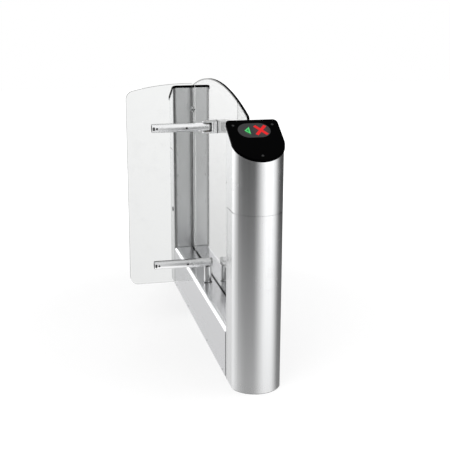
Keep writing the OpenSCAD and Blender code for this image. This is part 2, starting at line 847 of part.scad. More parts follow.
module fork_bolts() {
    for (s = [-1, 1]) translate([glass_t / 2 + pad_t + backing_t, 0, arm_high + s * hinge_bolt_z])
        rotate([0, 90, 0]) screw(hinge_bolt_r - sit_fit, 6.5, 4, backing_t + 2 * pad_t + glass_t + web_t - 2);
}

module hinge_bushes() {
    for (up = [0, 1]) translate([axis_x, 0, arm_high]) mirror([0, 0, up]) difference() {
        translate([0, 0, -arm_r - fork_play - fork_t]) union() {
            cylinder(r = pin_r + bush_wall - sit_fit / 2, h = fork_t);
            translate([0, 0, fork_t]) cylinder(r = pin_r + bush_wall + 3, h = bush_rim);
        }
        translate([0, 0, -2 * arm_r]) cylinder(r = pin_r + run_fit, h = 2 * arm_r);
    }
}

module ring_section(inner, outer, groove, centre_r) {
    translate([inner, 0]) difference() {
        square([outer - inner, bearing_w]);
        translate([centre_r - inner, bearing_w / 2]) circle(groove);
    }
}

ball_r = 3.2;
ball_gap = 0.1;
race = (journal_r + bearing_r) / 2;
ring_wall = (bearing_r - journal_r) / 2 - 2;
balls = 9;

module bearing_rings(outer_ring) {
    for (z = [bearing_low, bearing_high]) translate([axis_x, 0, z]) rotate_extrude()
        if (outer_ring) ring_section(bearing_r - ring_wall, bearing_r - sit_fit / 2, ball_r + ball_gap, race);
        else ring_section(journal_r + run_fit / 2, journal_r + ring_wall, ball_r + ball_gap, race);
}

module bearing_balls() {
    for (z = [bearing_low, bearing_high], i = [0 : balls - 1])
        translate([axis_x, 0, z + bearing_w / 2]) rotate(i * 360 / balls) translate([race, 0, 0])
            sphere(ball_r);
}

module lower_bearing_block() {
    difference() {
        union() {
            translate([axis_x, 0, base_t]) cylinder(r = bearing_r + 8, h = block_h);
            translate([axis_x - 12, -block_foot, base_t]) cube([24, 2 * block_foot, 7]);
        }
        for (s = [-1, 1]) translate([axis_x, s * block_bolt_y, base_t - 1])
            cylinder(r = screw_r + sit_fit, h = 20);
        translate([axis_x, 0, bearing_low]) cylinder(r = bearing_r, h = block_h);
        translate([axis_x, 0, base_t - 1]) cylinder(r = race, h = block_h);
    }
}

module block_bolts() {
    for (s = [-1, 1]) translate([axis_x, s * block_bolt_y, base_t + 7]) screw(screw_r, 5, 3, 10);
}

module drive_pillars() {
    for (x = [-pillar_x, pillar_x], y = [pillar_y0, pillar_y1])
        translate([axis_x + x, y, base_t]) {
            cylinder(r = pillar_r, h = pillar_h);
            cylinder(r = screw_r, h = pillar_h + drive_t + 2);
            translate([0, 0, pillar_h + drive_t]) cylinder(r = screw_r + 3, h = 5, $fn = 6);
        }
}

module drive_plate() {
    edge = pillar_r + 2;
    difference() {
        translate([axis_x - pillar_x - edge, pillar_y0 - edge, drive_low])
            cube([2 * (pillar_x + edge), pillar_y1 - pillar_y0 + 2 * edge, drive_t]);
        translate([axis_x, 0, bearing_high]) cylinder(r = bearing_r, h = drive_t);
        translate([axis_x, 0, drive_low - 1]) cylinder(r = race, h = drive_t);
        translate([axis_x, motor_y, drive_low - 1]) cylinder(r = 9, h = drive_t + 2);
        for (x = [-pillar_x, pillar_x], y = [pillar_y0, pillar_y1])
            translate([axis_x + x, y, drive_low - 1]) cylinder(r = screw_r + sit_fit, h = drive_t + 2);
        for (s = [-1, 1]) translate([axis_x + s * buffer_x, buffer_y, drive_top - 9])
            cylinder(r = screw_r, h = 10);
    }
}

pinion_shaft_r = 5;

module gearbox() {
    difference() {
        union() {
            translate([axis_x, motor_y, drive_top]) cylinder(r = motor_r, h = gearbox_l);
            translate([axis_x, motor_y, drive_top - 4]) cylinder(r = 9 - sit_fit, h = 5);
        }
        translate([axis_x, motor_y, drive_top - 5])
            cylinder(r = pinion_shaft_r + run_fit, h = 25);
    }
}

// Ribbed motor body
module drive_motor() {
    low = drive_top + gearbox_l;
    rib = 3;
    count = floor(motor_l / (2 * rib)) - 1;
    translate([axis_x, motor_y, low]) rotate_extrude() difference() {
        square([motor_r, motor_l]);
        for (i = [1 : count]) translate([motor_r - 1.5, i * 2 * rib]) square([2, rib]);
    }
}

module motor_brake() {
    translate([axis_x, motor_y, drive_top + gearbox_l + motor_l]) {
        cylinder(r = motor_r - 2, h = brake_l);
        translate([motor_r - 6, -6, 2]) cube([10, 12, brake_l - 4]);
    }
}

// Involute tooth outline: points from root to tip on one flank, angles in degrees
function roll(r, base) = sqrt(max(pow(r / base, 2) - 1, 0));
function flank_angle(r, base) = roll(r, base) * 180 / PI - atan(roll(r, base));

module gear_plan(teeth, backlash) {
    pitch = gear_m * teeth / 2;
    base = pitch * cos(20);
    root = pitch - 1.3 * gear_m;
    tip = pitch + 0.95 * gear_m;
    half = 90 / teeth - backlash / pitch * 90 / PI + flank_angle(pitch, base);
    steps = 4;
    start = max(root, base);
    flank = [for (i = [0 : steps]) let (r = start + (tip - start) * i / steps)
        [r, half - flank_angle(r, base)]];
    polygon([for (t = [0 : teeth - 1]) let (a = t * 360 / teeth) each concat(
        [[root * cos(a - half), root * sin(a - half)]],
        [for (p = flank) [p[0] * cos(a - p[1]), p[0] * sin(a - p[1])]],
        [for (i = [steps : -1 : 0]) let (p = flank[i]) [p[0] * cos(a + p[1]), p[0] * sin(a + p[1])]],
        [[root * cos(a + half), root * sin(a + half)]])]);
}

module shaft_gear() {
    translate([axis_x, 0, gear_low]) difference() {
        union() {
            rotate(90 + 180 / gear_teeth) linear_extrude(gear_w) gear_plan(gear_teeth, 0.25);
            translate([0, 0, -3]) cylinder(r = journal_r + 7, h = gear_w + 6);
        }
        translate([0, 0, -4]) cylinder(r = journal_r + run_fit / 2, h = gear_w + 8);
        for (i = [0 : 5]) rotate(i * 60) translate([gear_r * 0.72, 0, -1]) cylinder(r = 4.5, h = gear_w + 2);
    }
}

module drive_pinion() {
    translate([axis_x, motor_y, gear_low]) {
        rotate(270) linear_extrude(gear_w + 1) gear_plan(pinion_teeth, 0.25);
        cylinder(r = pinion_shaft_r, h = drive_top + 18 - gear_low);
    }
}

module drive_shaft() {
    translate([axis_x, 0, 0]) {
        translate([0, 0, bearing_low]) cylinder(r = journal_r, h = drive_top - bearing_low + 0.5);
        translate([0, 0, drive_top + 0.3]) cylinder(r = shaft_r, h = neck_low - drive_top - 0.3);
        translate([0, 0, neck_low - 1]) cylinder(r = journal_r, h = 2 * arm_r + shaft_neck - 4 - sit_fit);
    }
}

module stop_lever() {
    translate([axis_x, 0, lever_low]) difference() {
        union() {
            cylinder(r = shaft_r + 5, h = lever_t);
            translate([-lever_half, -lever_l, 0]) cube([2 * lever_half, lever_l, lever_t]);
        }
        translate([0, 0, -1]) cylinder(r = shaft_r + run_fit / 2, h = lever_t + 2);
    }
}

// Rubber sleeves on steel pins; the lever meets one at each end of the swing
module stop_buffers() {
    for (s = [-1, 1]) translate([axis_x + s * buffer_x, buffer_y, drive_top]) {
        cylinder(r = buffer_r, h = lever_low + lever_t - drive_top);
        translate([0, 0, -8]) cylinder(r = screw_r - sit_fit, h = 9);
    }
}

module shaft_collar() {
    translate([axis_x, 0, plinth_h]) rotate_extrude() difference() {
        union() {
            square([20, 2]);
            square([19, 3]);
        }
        translate([-1, -1]) square([shaft_r + 1.3, 6]);
    }
}

module wing_glass() {
    difference() {
        translate([0, glass_t / 2, 0]) rotate([90, 0, 0]) linear_extrude(glass_t)
            arched_plate(wing_out, wing_in, wing_low, wing_in - wing_peak, wing_top, wing_arc,
                wing_r, wing_r_in, wing_r, wing_r_in);
        for (z = [arm_low, arm_high], x = [arm_screw_in, arm_screw_out])
            translate([axis_x - x, -glass_t, z]) rotate([-90, 0, 0])
                cylinder(r = screw_r + 1, h = 2 * glass_t);
    }
}

// Tube along X, slotted from its free end so that the glass passes through it
module arm_tube(z, past) {
    difference() {
        translate([arm_end, 0, z]) rotate([0, 90, 0]) cylinder(r = arm_r, h = axis_x + past - arm_end);
        translate([arm_end - 1, 0, z]) rotate([0, 90, 0])
            cylinder(r = arm_r - arm_wall, h = wing_in - arm_end + 3);
        translate([arm_end - 1, -arm_slot / 2, z - arm_r - 1])
            cube([wing_in - arm_end + 3, arm_slot, 2 * arm_r + 2]);
        translate([arm_end + arm_eye_in, arm_r + 1, z]) rotate([90, 0, 0]) hull()
            for (s = [-1, 1]) translate([0, s * (arm_eye_h - arm_eye_w) / 2, 0])
                cylinder(d = arm_eye_w, h = 2 * arm_r + 2);
        for (x = [arm_screw_in, arm_screw_out]) translate([axis_x - x, 0, z]) rotate([90, 0, 0]) {
            translate([0, 0, -arm_r - 1]) cylinder(r = screw_r + sit_fit, h = 2 * arm_r + 2);
            translate([0, 0, arm_r - 3]) cylinder(r = screw_head_r + sit_fit, h = 4);
            translate([0, 0, -arm_r - 1]) cylinder(r = screw_head_r + sit_fit, h = 4);
        }
    }
}

module upper_arm() {
    difference() {
        arm_tube(arm_high, arm_nose);
        translate([axis_x, 0, arm_high - arm_r - 1]) {
            cylinder(r = pin_r + run_fit / 2, h = 2 * arm_r + 2);
            difference() {
                translate([0, -arm_r - 1, 0]) cube([arm_nose + 1, 2 * arm_r + 2, 2 * arm_r + 2]);
                translate([0, 0, -1]) cylinder(r = arm_nose, h = 2 * arm_r + 4);
            }
        }
    }
}

module lower_arm() {
    difference() {
        arm_tube(arm_low, arm_r);
        translate([axis_x, 0, arm_low - arm_r - 1]) cylinder(r = journal_r + run_fit / 2, h = 2 * arm_r - 4);
    }
}

module hinge_pin() {
    translate([axis_x, 0, fork_low + 0.3]) cylinder(r = pin_r, h = fork_top - fork_low - 0.6);
}

// Half-round bars that fill the tube on both sides of the glass
module arm_inserts() {
    inner = arm_r - arm_wall - sit_fit;
    for (z = [arm_low, arm_high]) difference() {
        translate([arm_end + 2, 0, z]) rotate([0, 90, 0]) cylinder(r = inner, h = wing_in - arm_end - 3);
        translate([arm_end, -arm_slot / 2 - sit_fit, z - arm_r])
            cube([wing_in - arm_end + 1, arm_slot + 2 * sit_fit, 2 * arm_r]);
        for (x = [arm_screw_in, arm_screw_out]) translate([axis_x - x, 0, z]) rotate([90, 0, 0]) {
            translate([0, 0, -arm_r]) cylinder(r = screw_r + sit_fit, h = 2 * arm_r);
            translate([0, 0, arm_r - 4]) cylinder(r = screw_head_r + sit_fit, h = 5);
            translate([0, 0, -arm_r]) cylinder(r = screw_head_r + sit_fit, h = 4);
        }
    }
}

// Rubber strips between the glass and the slotted tubes
module arm_liners() {
    high = 2 * arm_r - 4;
    for (z = [arm_low, arm_high], s = [-1, 1]) difference() {
        translate([arm_end + 1, s > 0 ? glass_t / 2 : -arm_slot / 2, z - high / 2])
            cube([wing_in - arm_end - 1, liner_t, high]);
        for (x = [arm_screw_in, arm_screw_out]) translate([axis_x - x, -arm_r, z]) rotate([-90, 0, 0])
            cylinder(r = screw_r + 1, h = 2 * arm_r);
    }
}

module arm_screws() {
    sunk = 0.6;
    for (z = [arm_low, arm_high], x = [arm_screw_in, arm_screw_out])
        translate([axis_x - x, 0, z]) rotate([90, 0, 0]) {
            difference() {
                union() {
                    translate([0, 0, arm_r - 3.5]) cylinder(r = screw_head_r, h = 3.5 - sunk);
                    translate([0, 0, -arm_r + 1]) cylinder(r = screw_r - sit_fit, h = 2 * arm_r - 4);
                    translate([0, 0, -arm_r + sunk]) cylinder(r = screw_head_r, h = 3);
                }
                translate([0, 0, arm_r - 2.4]) cylinder(r = hex_r, h = 4, $fn = 6);
            }
        }
}

// Closed box with a row of louvres and three cable glands below
module control_box() {
    back = 2 * sheet_t + 2 * sit_fit;
    at_near() {
        translate([-box_w / 2, back, control_z]) difference() {
            cube([box_w, box_d, control_h]);
            for (i = [1 : 4]) translate([box_w / 10, box_d - 1, i * control_h / 18])
                cube([box_w * 0.8, 2, control_h / 60]);
        }
        for (x = [-1, 0, 1]) translate([x * box_w / 4, back + box_d / 2, control_z - 1.8 * gland_r])
            cylinder(r = gland_r, h = 1.8 * gland_r + 1);
    }
}

module power_supply() {
    at_far() translate([-box_w / 2, sheet_t + sit_fit, supply_z]) difference() {
        cube([box_w, box_d, supply_h]);
        for (i = [1 : 8]) translate([box_w / 10, box_d - 2, i * supply_h / 10])
            cube([box_w * 0.8, 3, supply_h / 30]);
    }
}

steel = [0.78, 0.79, 0.8];
black = [0.08, 0.08, 0.09];
rubber = [0.18, 0.18, 0.19];
clear = [0.8, 0.9, 0.92, 0.35];
green = [0.1, 0.9, 0.3];
red = [0.95, 0.15, 0.15];

color("dimgray") base_plate();
color("dimgray") edge_bars();
color("dimgray") both_posts() post_bracket();  // post_brackets
color(steel) at_near() post_shell();  // near_post_shell
color(steel) at_far() post_shell();  // far_post_shell
color(steel) at_near() post_door();  // near_door
color(steel) at_far() post_door();  // far_door
color("silver") both_posts() on_lock() lock_barrel();  // lock_barrels
color("silver") at_near() on_lock() lock_plug();  // near_lock_plug
color("silver") at_far() on_lock() lock_plug();  // far_lock_plug
color(black) at_near_mirrored() top_plate();  // near_top_plate
color(black) at_far() top_plate();  // far_top_plate
color("silver") both_posts() plate_screws();  // top_plate_screws
color(black) at_near_mirrored() display_window();  // near_display_window
color(black) at_far() display_window();  // far_display_window
color(green) both_displays() sign_lens("arrow");  // arrow_lenses
color(red) both_displays() sign_lens("cross");  // cross_lenses
color("green") both_displays() display_board();  // display_boards
color(black) both_posts() sensor_lens_pair();  // sensor_lenses
color(black) both_posts() post_strip();  // post_strips
color("silver") both_posts() post_fixing_screws();
color(steel) plinth_cover(-1);  // left_plinth_cover
color(steel) plinth_cover(1);  // right_plinth_cover
color("silver") cover_screws();
color("gray") glass_channel();
color("dimgray") channel_brackets();
color(rubber) glass_gasket();
color(clear) centre_glass();
color(steel) both_posts() glass_holder();  // glass_holders
color("gray") holder_fixings();
color(steel) hinge_fork();
color(rubber) fork_pads();
color(steel) fork_backing_plate();
color("silver") fork_bolts();
color("wheat") hinge_bushes();
color("silver") hinge_pin();
color("silver") drive_pillars();
color("gray") drive_plate();
color("gray") lower_bearing_block();
color("silver") block_bolts();
color("silver") bearing_rings(true);  // bearing_outer_rings
color("silver") bearing_rings(false);  // bearing_inner_rings
color("lightgray") bearing_balls();
color("slategray") gearbox();
color("slategray") drive_motor();
color(black) motor_brake();
color("darkgray") drive_pinion();
color("darkgray") shaft_gear();
color(steel) drive_shaft();
color("gray") stop_lever();
color(rubber) stop_buffers();
color(steel) shaft_collar();
color(clear) wing_glass();
color(steel) upper_arm();
color(steel) lower_arm();
color(black) arm_inserts();
color(rubber) arm_liners();
color("gray") arm_screws();
color("gray") control_box();
color("silver") power_supply();
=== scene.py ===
import math
import bpy
import numpy as np
from mathutils import Matrix

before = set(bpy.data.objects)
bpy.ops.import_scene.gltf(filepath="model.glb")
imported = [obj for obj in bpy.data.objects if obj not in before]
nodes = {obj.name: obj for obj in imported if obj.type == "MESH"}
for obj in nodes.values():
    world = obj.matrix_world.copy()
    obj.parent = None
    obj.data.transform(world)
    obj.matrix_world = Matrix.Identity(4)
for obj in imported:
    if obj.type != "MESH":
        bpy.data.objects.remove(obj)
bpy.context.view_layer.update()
print("frame loaded,", len(nodes), "nodes")


# camera: stands left of the near post, a little above it
cameraValues = {
    "place": (-0.828936, -3.788352, 1.505663),
    "yaw": 12.809, "pitch": 15.158, "roll": 0.115,   # degrees: right of +Y, down, clockwise
    "focal": 918.234, "centre": (224.656, 225.133), "side": 450.0,   # pixels
    "sensor": 36.0,   # millimetres
    "clip": (0.01, 100.0),   # metres
}


def turnMatrix(right, top, back, place):
    # an object's own axes and its place as columns
    turn = np.eye(4)
    turn[:3, 0], turn[:3, 1], turn[:3, 2], turn[:3, 3] = right, top, back, place
    return Matrix(turn.tolist())


def placeCamera(values):
    yaw, pitch, roll = (math.radians(values[key]) for key in ("yaw", "pitch", "roll"))
    ahead = np.array([math.sin(yaw) * math.cos(pitch), math.cos(yaw) * math.cos(pitch), -math.sin(pitch)])
    across = np.array([math.cos(yaw), -math.sin(yaw), 0.0])
    above = np.cross(across, ahead)
    right = math.cos(roll) * across + math.sin(roll) * above
    top = math.cos(roll) * above - math.sin(roll) * across
    data = bpy.data.cameras.new("photoCamera")
    data.sensor_fit = "HORIZONTAL"
    data.sensor_width = values["sensor"]
    data.lens = values["focal"] / values["side"] * values["sensor"]
    data.shift_x = (values["side"] / 2 - values["centre"][0]) / values["side"]
    data.shift_y = (values["centre"][1] - values["side"] / 2) / values["side"]
    data.clip_start, data.clip_end = values["clip"]
    camera = bpy.data.objects.new("photoCamera", data)
    camera.matrix_world = turnMatrix(right, top, -ahead, values["place"])
    bpy.context.scene.collection.objects.link(camera)
    bpy.context.scene.camera = camera


placeCamera(cameraValues)
bpy.context.scene.view_settings.view_transform = "Standard"
print("camera placed")


# small helpers for node trees
def putNode(tree, kind, **settings):
    node = tree.nodes.new(kind)
    for key, value in settings.items():
        setattr(node, key, value)
    return node


def feed(tree, socket, source):
    if isinstance(source, bpy.types.NodeSocket):
        tree.links.new(source, socket)
    else:
        socket.default_value = source


def calc(tree, operation, *terms, clamp=False):
    node = putNode(tree, "ShaderNodeMath", operation=operation, use_clamp=clamp)
    for socket, term in zip(node.inputs, terms):
        feed(tree, socket, term)
    return node.outputs[0]


def blendValue(tree, factor, first, second):
    node = putNode(tree, "ShaderNodeMix", data_type="FLOAT")
    for socket, term in zip((node.inputs[0], node.inputs[2], node.inputs[3]), (factor, first, second)):
        feed(tree, socket, term)
    return node.outputs[0]


def blendColour(tree, factor, first, second, how="MIX"):
    node = putNode(tree, "ShaderNodeMix", data_type="RGBA", blend_type=how)
    feed(tree, node.inputs[0], factor)
    for socket, term in zip((node.inputs[6], node.inputs[7]), (first, second)):
        feed(tree, socket, term if isinstance(term, bpy.types.NodeSocket) else (*term, 1.0))
    return node.outputs[2]


def spread(tree, value, low, high, newLow=0.0, newHigh=1.0, smooth=False):
    node = putNode(tree, "ShaderNodeMapRange", interpolation_type="SMOOTHSTEP" if smooth else "LINEAR")
    for socket, term in zip(node.inputs, (value, low, high, newLow, newHigh)):
        feed(tree, socket, term)
    return node.outputs[0]


def splitPlace(tree, place):
    # x, y and z of a place
    node = putNode(tree, "ShaderNodeSeparateXYZ")
    feed(tree, node.inputs[0], place)
    return node.outputs


def addNoise(tree, place, scale, detail, rough=0.5):
    node = putNode(tree, "ShaderNodeTexNoise")
    for label, value in (("Vector", place), ("Scale", scale), ("Detail", detail), ("Roughness", rough)):
        feed(tree, node.inputs[label], value)
    return node.outputs[0]


# studio: white backdrop for the camera; metal and glass see two soft panels and a pale floor.
# Turns are degrees round the vertical from -Y towards +X, or for the rear panel from +Y towards -X.
# Other places of the backdrop are the direction's own height, -1 straight down to 1 straight up.
# A lamp has its place, what it points at, the side of its square in metres and its power in watts.
studioValues = {
    "room": 0.058,
    "front": {"rise": (-24, 34), "fall": (55, 103), "level": 1.54},
    "rear": {"rise": (-16, 20), "fall": (21, 106), "level": 0.84, "upper": 0.6, "upperFrom": -0.36, "upperTo": -0.1,
             "above": 0.5, "aboveFrom": 0.0, "aboveTo": 0.2, "edge": (14, 36), "edgeExtra": 0.35},
    "floor": {"level": 0.75, "from": -0.12, "to": -0.605, "most": 0.9, "deep": 0.3, "deepFrom": -0.5, "deepTo": -0.85,
              "leftRise": (-170, -125), "leftFall": (-105, -50), "leftExtra": 0.42,
              "rightRise": (70, 105), "rightFall": (135, 175), "rightExtra": -0.34},
    "ceiling": 1.1, "ceilingFrom": 0.2, "ceilingTo": 0.8,
    "throughHigh": 1.0, "throughLow": 0.86, "throughFrom": -0.1, "throughTo": -0.42,
    "soft": 0.75,
    "lamps": [((-2.2, -2.6, 3.4), (0.0, 0.0, 0.5), 2.4, 70.0), ((2.6, -1.2, 3.0), (0.0, 0.0, 0.6), 2.0, 34.0),
              ((0.4, 3.2, 3.2), (0.0, 0.2, 0.6), 2.2, 30.0)],
    "floorSize": 9.0, "floorTone": 0.8, "floorShade": 0.3,
    "floorWhite": 0.685, "floorFadeFrom": 0.7, "floorFadeTo": 2.2,
}


def softBand(tree, turn, rise, fall):
    # 0 outside, 1 between the two soft edges
    up = spread(tree, turn, *(math.radians(edge) for edge in rise), smooth=True)
    down = spread(tree, turn, *(math.radians(edge) for edge in fall), smooth=True)
    return calc(tree, "MULTIPLY", up, calc(tree, "SUBTRACT", 1.0, down))


def makeBackdrop(values):
    world = bpy.data.worlds.new("studio")
    bpy.context.scene.world = world
    world.use_nodes = True
    tree = world.node_tree
    tree.nodes.clear()
    x, y, z = splitPlace(tree, putNode(tree, "ShaderNodeTexCoord").outputs["Generated"])
    turn = calc(tree, "ARCTAN2", x, calc(tree, "MULTIPLY", y, -1.0))
    rearTurn = calc(tree, "ARCTAN2", calc(tree, "MULTIPLY", x, -1.0), y)
    front, rear, ground = values["front"], values["rear"], values["floor"]
    level = calc(tree, "MULTIPLY_ADD", softBand(tree, turn, front["rise"], front["fall"]), front["level"],
                 values["room"])
    upper = spread(tree, z, rear["upperFrom"], rear["upperTo"], rear["level"], rear["level"] + rear["upper"],
                   smooth=True)
    upper = calc(tree, "ADD", upper, spread(tree, z, rear["aboveFrom"], rear["aboveTo"], 0.0, rear["above"]))
    edge = spread(tree, rearTurn, *(math.radians(side) for side in rear["edge"]), 1.0, 1.0 + rear["edgeExtra"],
                  smooth=True)
    panel = calc(tree, "MULTIPLY", softBand(tree, rearTurn, rear["rise"], rear["fall"]), edge)
    level = calc(tree, "MULTIPLY_ADD", panel, upper, level)
    pale = calc(tree, "MULTIPLY_ADD", softBand(tree, turn, ground["leftRise"], ground["leftFall"]),
                ground["leftExtra"], ground["level"])
    pale = calc(tree, "MULTIPLY_ADD", softBand(tree, turn, ground["rightRise"], ground["rightFall"]),
                ground["rightExtra"], pale)
    pale = calc(tree, "ADD", pale, spread(tree, z, ground["deepFrom"], ground["deepTo"], 0.0, ground["deep"]))
    share = spread(tree, z, ground["from"], ground["to"], 0.0, ground["most"], smooth=True)
    level = blendValue(tree, share, level, pale)
    level = blendValue(tree, spread(tree, z, values["ceilingFrom"], values["ceilingTo"], smooth=True),
                       level, values["ceiling"])
    through = spread(tree, z, values["throughTo"], values["throughFrom"], values["throughLow"],
                     values["throughHigh"])
    path = putNode(tree, "ShaderNodeLightPath").outputs
    seen = blendValue(tree, path["Is Transmission Ray"], values["soft"], through)
    seen = blendValue(tree, calc(tree, "MINIMUM", path["Glossy Depth"], 1.0), seen, level)
    seen = blendValue(tree, path["Is Camera Ray"], seen, 1.0)
    sky = putNode(tree, "ShaderNodeBackground")
    feed(tree, sky.inputs[0], seen)
    sky.inputs[1].default_value = 1.0
    tree.links.new(sky.outputs[0], putNode(tree, "ShaderNodeOutputWorld").inputs[0])


def makeLamps(values):
    for place, target, size, power in values["lamps"]:
        data = bpy.data.lights.new("softLamp", "AREA")
        data.shape, data.size, data.energy = "SQUARE", size, power
        lamp = bpy.data.objects.new("softLamp", data)
        aim = np.array(target) - np.array(place)
        aim = aim / np.linalg.norm(aim)
        side = np.cross(aim, (0.0, 0.0, 1.0))
        side = side / np.linalg.norm(side)
        lamp.matrix_world = turnMatrix(side, np.cross(side, aim), -aim, place)
        lamp.visible_glossy = False
        lamp.visible_transmission = False
        bpy.context.scene.collection.objects.link(lamp)


def makeFloor(values):
    half = values["floorSize"]
    mesh = bpy.data.meshes.new("studioFloor")
    mesh.from_pydata([(-half, -half, 0), (half, -half, 0), (half, half, 0), (-half, half, 0)], [], [(0, 1, 2, 3)])
    floor = bpy.data.objects.new("studioFloor", mesh)
    bpy.context.scene.collection.objects.link(floor)
    floor.visible_glossy = False
    floor.visible_transmission = False
    material = bpy.data.materials.new("paleFloor")
    material.use_nodes = True
    tree = material.node_tree
    tree.nodes.clear()
    shade = putNode(tree, "ShaderNodeBsdfDiffuse")
    glow = putNode(tree, "ShaderNodeEmission")
    both = putNode(tree, "ShaderNodeAddShader")
    path = putNode(tree, "ShaderNodeLightPath").outputs["Is Camera Ray"]
    feed(tree, shade.inputs[0], blendColour(tree, path, (values["floorTone"],) * 3, (values["floorShade"],) * 3))
    glow.inputs[0].default_value = (1.0, 1.0, 1.0, 1.0)
    away = putNode(tree, "ShaderNodeVectorMath", operation="LENGTH")
    tree.links.new(putNode(tree, "ShaderNodeTexCoord").outputs["Object"], away.inputs[0])
    white = spread(tree, away.outputs["Value"], values["floorFadeFrom"], values["floorFadeTo"],
                   values["floorWhite"], 1.0, smooth=True)
    feed(tree, glow.inputs[1], calc(tree, "MULTIPLY", path, white))
    tree.links.new(shade.outputs[0], both.inputs[0])
    tree.links.new(glow.outputs[0], both.inputs[1])
    tree.links.new(both.outputs[0], putNode(tree, "ShaderNodeOutputMaterial").inputs[0])
    mesh.materials.append(material)


makeBackdrop(studioValues)
makeLamps(studioValues)
makeFloor(studioValues)
print("studio ready")


# effects that several finishes share
def newGroup(name, inputs, outputs):
    tree = bpy.data.node_groups.new(name, "ShaderNodeTree")
    for label, kind, value in inputs:
        socket = tree.interface.new_socket(label, in_out="INPUT", socket_type=kind)
        if value is not None:
            socket.default_value = value
    for label, kind in outputs:
        tree.interface.new_socket(label, in_out="OUTPUT", socket_type=kind)
    return tree, putNode(tree, "NodeGroupInput").outputs, putNode(tree, "NodeGroupOutput").inputs


grainValues = {"stretch": (900.0, 900.0, 9.0), "streak": (1.0, 5.0), "band": (0.07, 2.0), "rough": 0.6}


def makeGrainGroup(values):
    # drawn-out noise: the coordinates are stretched, so that each speck becomes a long fine line
    tree, given, out = newGroup("brushedGrain", [("Place", "NodeSocketVector", None),
                                                 ("Stretch", "NodeSocketVector", values["stretch"])],
                                [("Streak", "NodeSocketFloat"), ("Band", "NodeSocketFloat")])
    for label, (factor, detail) in (("Streak", values["streak"]), ("Band", values["band"])):
        scaled = putNode(tree, "ShaderNodeVectorMath", operation="MULTIPLY")
        tree.links.new(given["Place"], scaled.inputs[0])
        tree.links.new(given["Stretch"], scaled.inputs[1])
        tree.links.new(addNoise(tree, scaled.outputs[0], factor, detail, values["rough"]), out[label])
    return tree


smudgeValues = {"size": 9.0, "factors": (1.0, 4.3), "detail": 4.0, "edges": (0.42, 0.68)}


def makeSmudgeGroup(values):
    # soft patches left by hands and cleaning cloths, from two sizes of noise
    tree, given, out = newGroup("smudges", [("Place", "NodeSocketVector", None),
                                            ("Size", "NodeSocketFloat", values["size"])],
                                [("Mask", "NodeSocketFloat")])
    masks = []
    for factor in values["factors"]:
        noise = addNoise(tree, given["Place"], calc(tree, "MULTIPLY", given["Size"], factor), values["detail"])
        masks.append(spread(tree, noise, *values["edges"], smooth=True))
    tree.links.new(calc(tree, "MULTIPLY", *masks), out["Mask"])
    return tree


dustValues = {"height": 0.05, "scale": 60.0, "detail": 5.0}


def makeDustGroup(values):
    # pale dust that thins out from the floor up to the given height
    tree, given, out = newGroup("floorDust", [("Place", "NodeSocketVector", None),
                                              ("Height", "NodeSocketFloat", values["height"])],
                                [("Mask", "NodeSocketFloat")])
    rise = calc(tree, "DIVIDE", splitPlace(tree, given["Place"])[2], given["Height"])
    share = calc(tree, "SUBTRACT", 1.0, rise, clamp=True)
    noise = addNoise(tree, given["Place"], values["scale"], values["detail"])
    tree.links.new(calc(tree, "MULTIPLY", share, noise), out["Mask"])
    return tree


speckValues = {"scale": 700.0, "mask": (1.0, 3.0), "patch": (0.05, 4.0)}


def makeSpeckGroup(values):
    # small uneven specks for cast, moulded and rubber surfaces
    tree, given, out = newGroup("specks", [("Place", "NodeSocketVector", None),
                                           ("Scale", "NodeSocketFloat", values["scale"])],
                                [("Mask", "NodeSocketFloat"), ("Patch", "NodeSocketFloat")])
    for label, (factor, detail) in (("Mask", values["mask"]), ("Patch", values["patch"])):
        scale = calc(tree, "MULTIPLY", given["Scale"], factor)
        tree.links.new(addNoise(tree, given["Place"], scale, detail), out[label])
    return tree


slopeValues = {"tilt": 30.0, "innerFace": 0.57, "upperEdge": 1.0}   # degrees, metres


def makeSlopeGroup(values):
    # place on a display: across it, and down the slope from the post's inner edge, in metres
    tree, given, out = newGroup("slopePlace", [("Place", "NodeSocketVector", None)],
                                [("Across", "NodeSocketFloat"), ("Down", "NodeSocketFloat")])
    tilt = math.radians(values["tilt"])
    x, y, z = splitPlace(tree, given["Place"])
    outward = calc(tree, "SUBTRACT", calc(tree, "ABSOLUTE", y), values["innerFace"])
    drop = calc(tree, "SUBTRACT", values["upperEdge"], z)
    tree.links.new(x, out["Across"])
    tree.links.new(calc(tree, "ADD", calc(tree, "MULTIPLY", outward, math.cos(tilt)),
                        calc(tree, "MULTIPLY", drop, math.sin(tilt))), out["Down"])
    return tree


grainGroup = makeGrainGroup(grainValues)
smudgeGroup = makeSmudgeGroup(smudgeValues)
dustGroup = makeDustGroup(dustValues)
speckGroup = makeSpeckGroup(speckValues)
slopeGroup = makeSlopeGroup(slopeValues)
print("shared effects ready")


def newFinish(name):
    material = bpy.data.materials.new(name)
    material.use_nodes = True
    tree = material.node_tree
    tree.nodes.clear()
    surface = putNode(tree, "ShaderNodeBsdfPrincipled")
    tree.links.new(surface.outputs[0], putNode(tree, "ShaderNodeOutputMaterial").inputs[0])
    place = putNode(tree, "ShaderNodeTexCoord").outputs["Object"]
    return material, tree, surface.inputs, place


def useGroup(tree, group, **values):
    node = putNode(tree, "ShaderNodeGroup", node_tree=group)
    for key, value in values.items():
        feed(tree, node.inputs[key], value)
    return node.outputs


def addBump(tree, surface, height, strength, distance):
    bump = putNode(tree, "ShaderNodeBump")
    bump.inputs["Strength"].default_value = strength
    bump.inputs["Distance"].default_value = distance
    tree.links.new(height, bump.inputs["Height"])
    tree.links.new(bump.outputs[0], surface["Normal"])


def shadeOf(colour, share):
    return tuple(min(1.0, channel * share) for channel in colour)


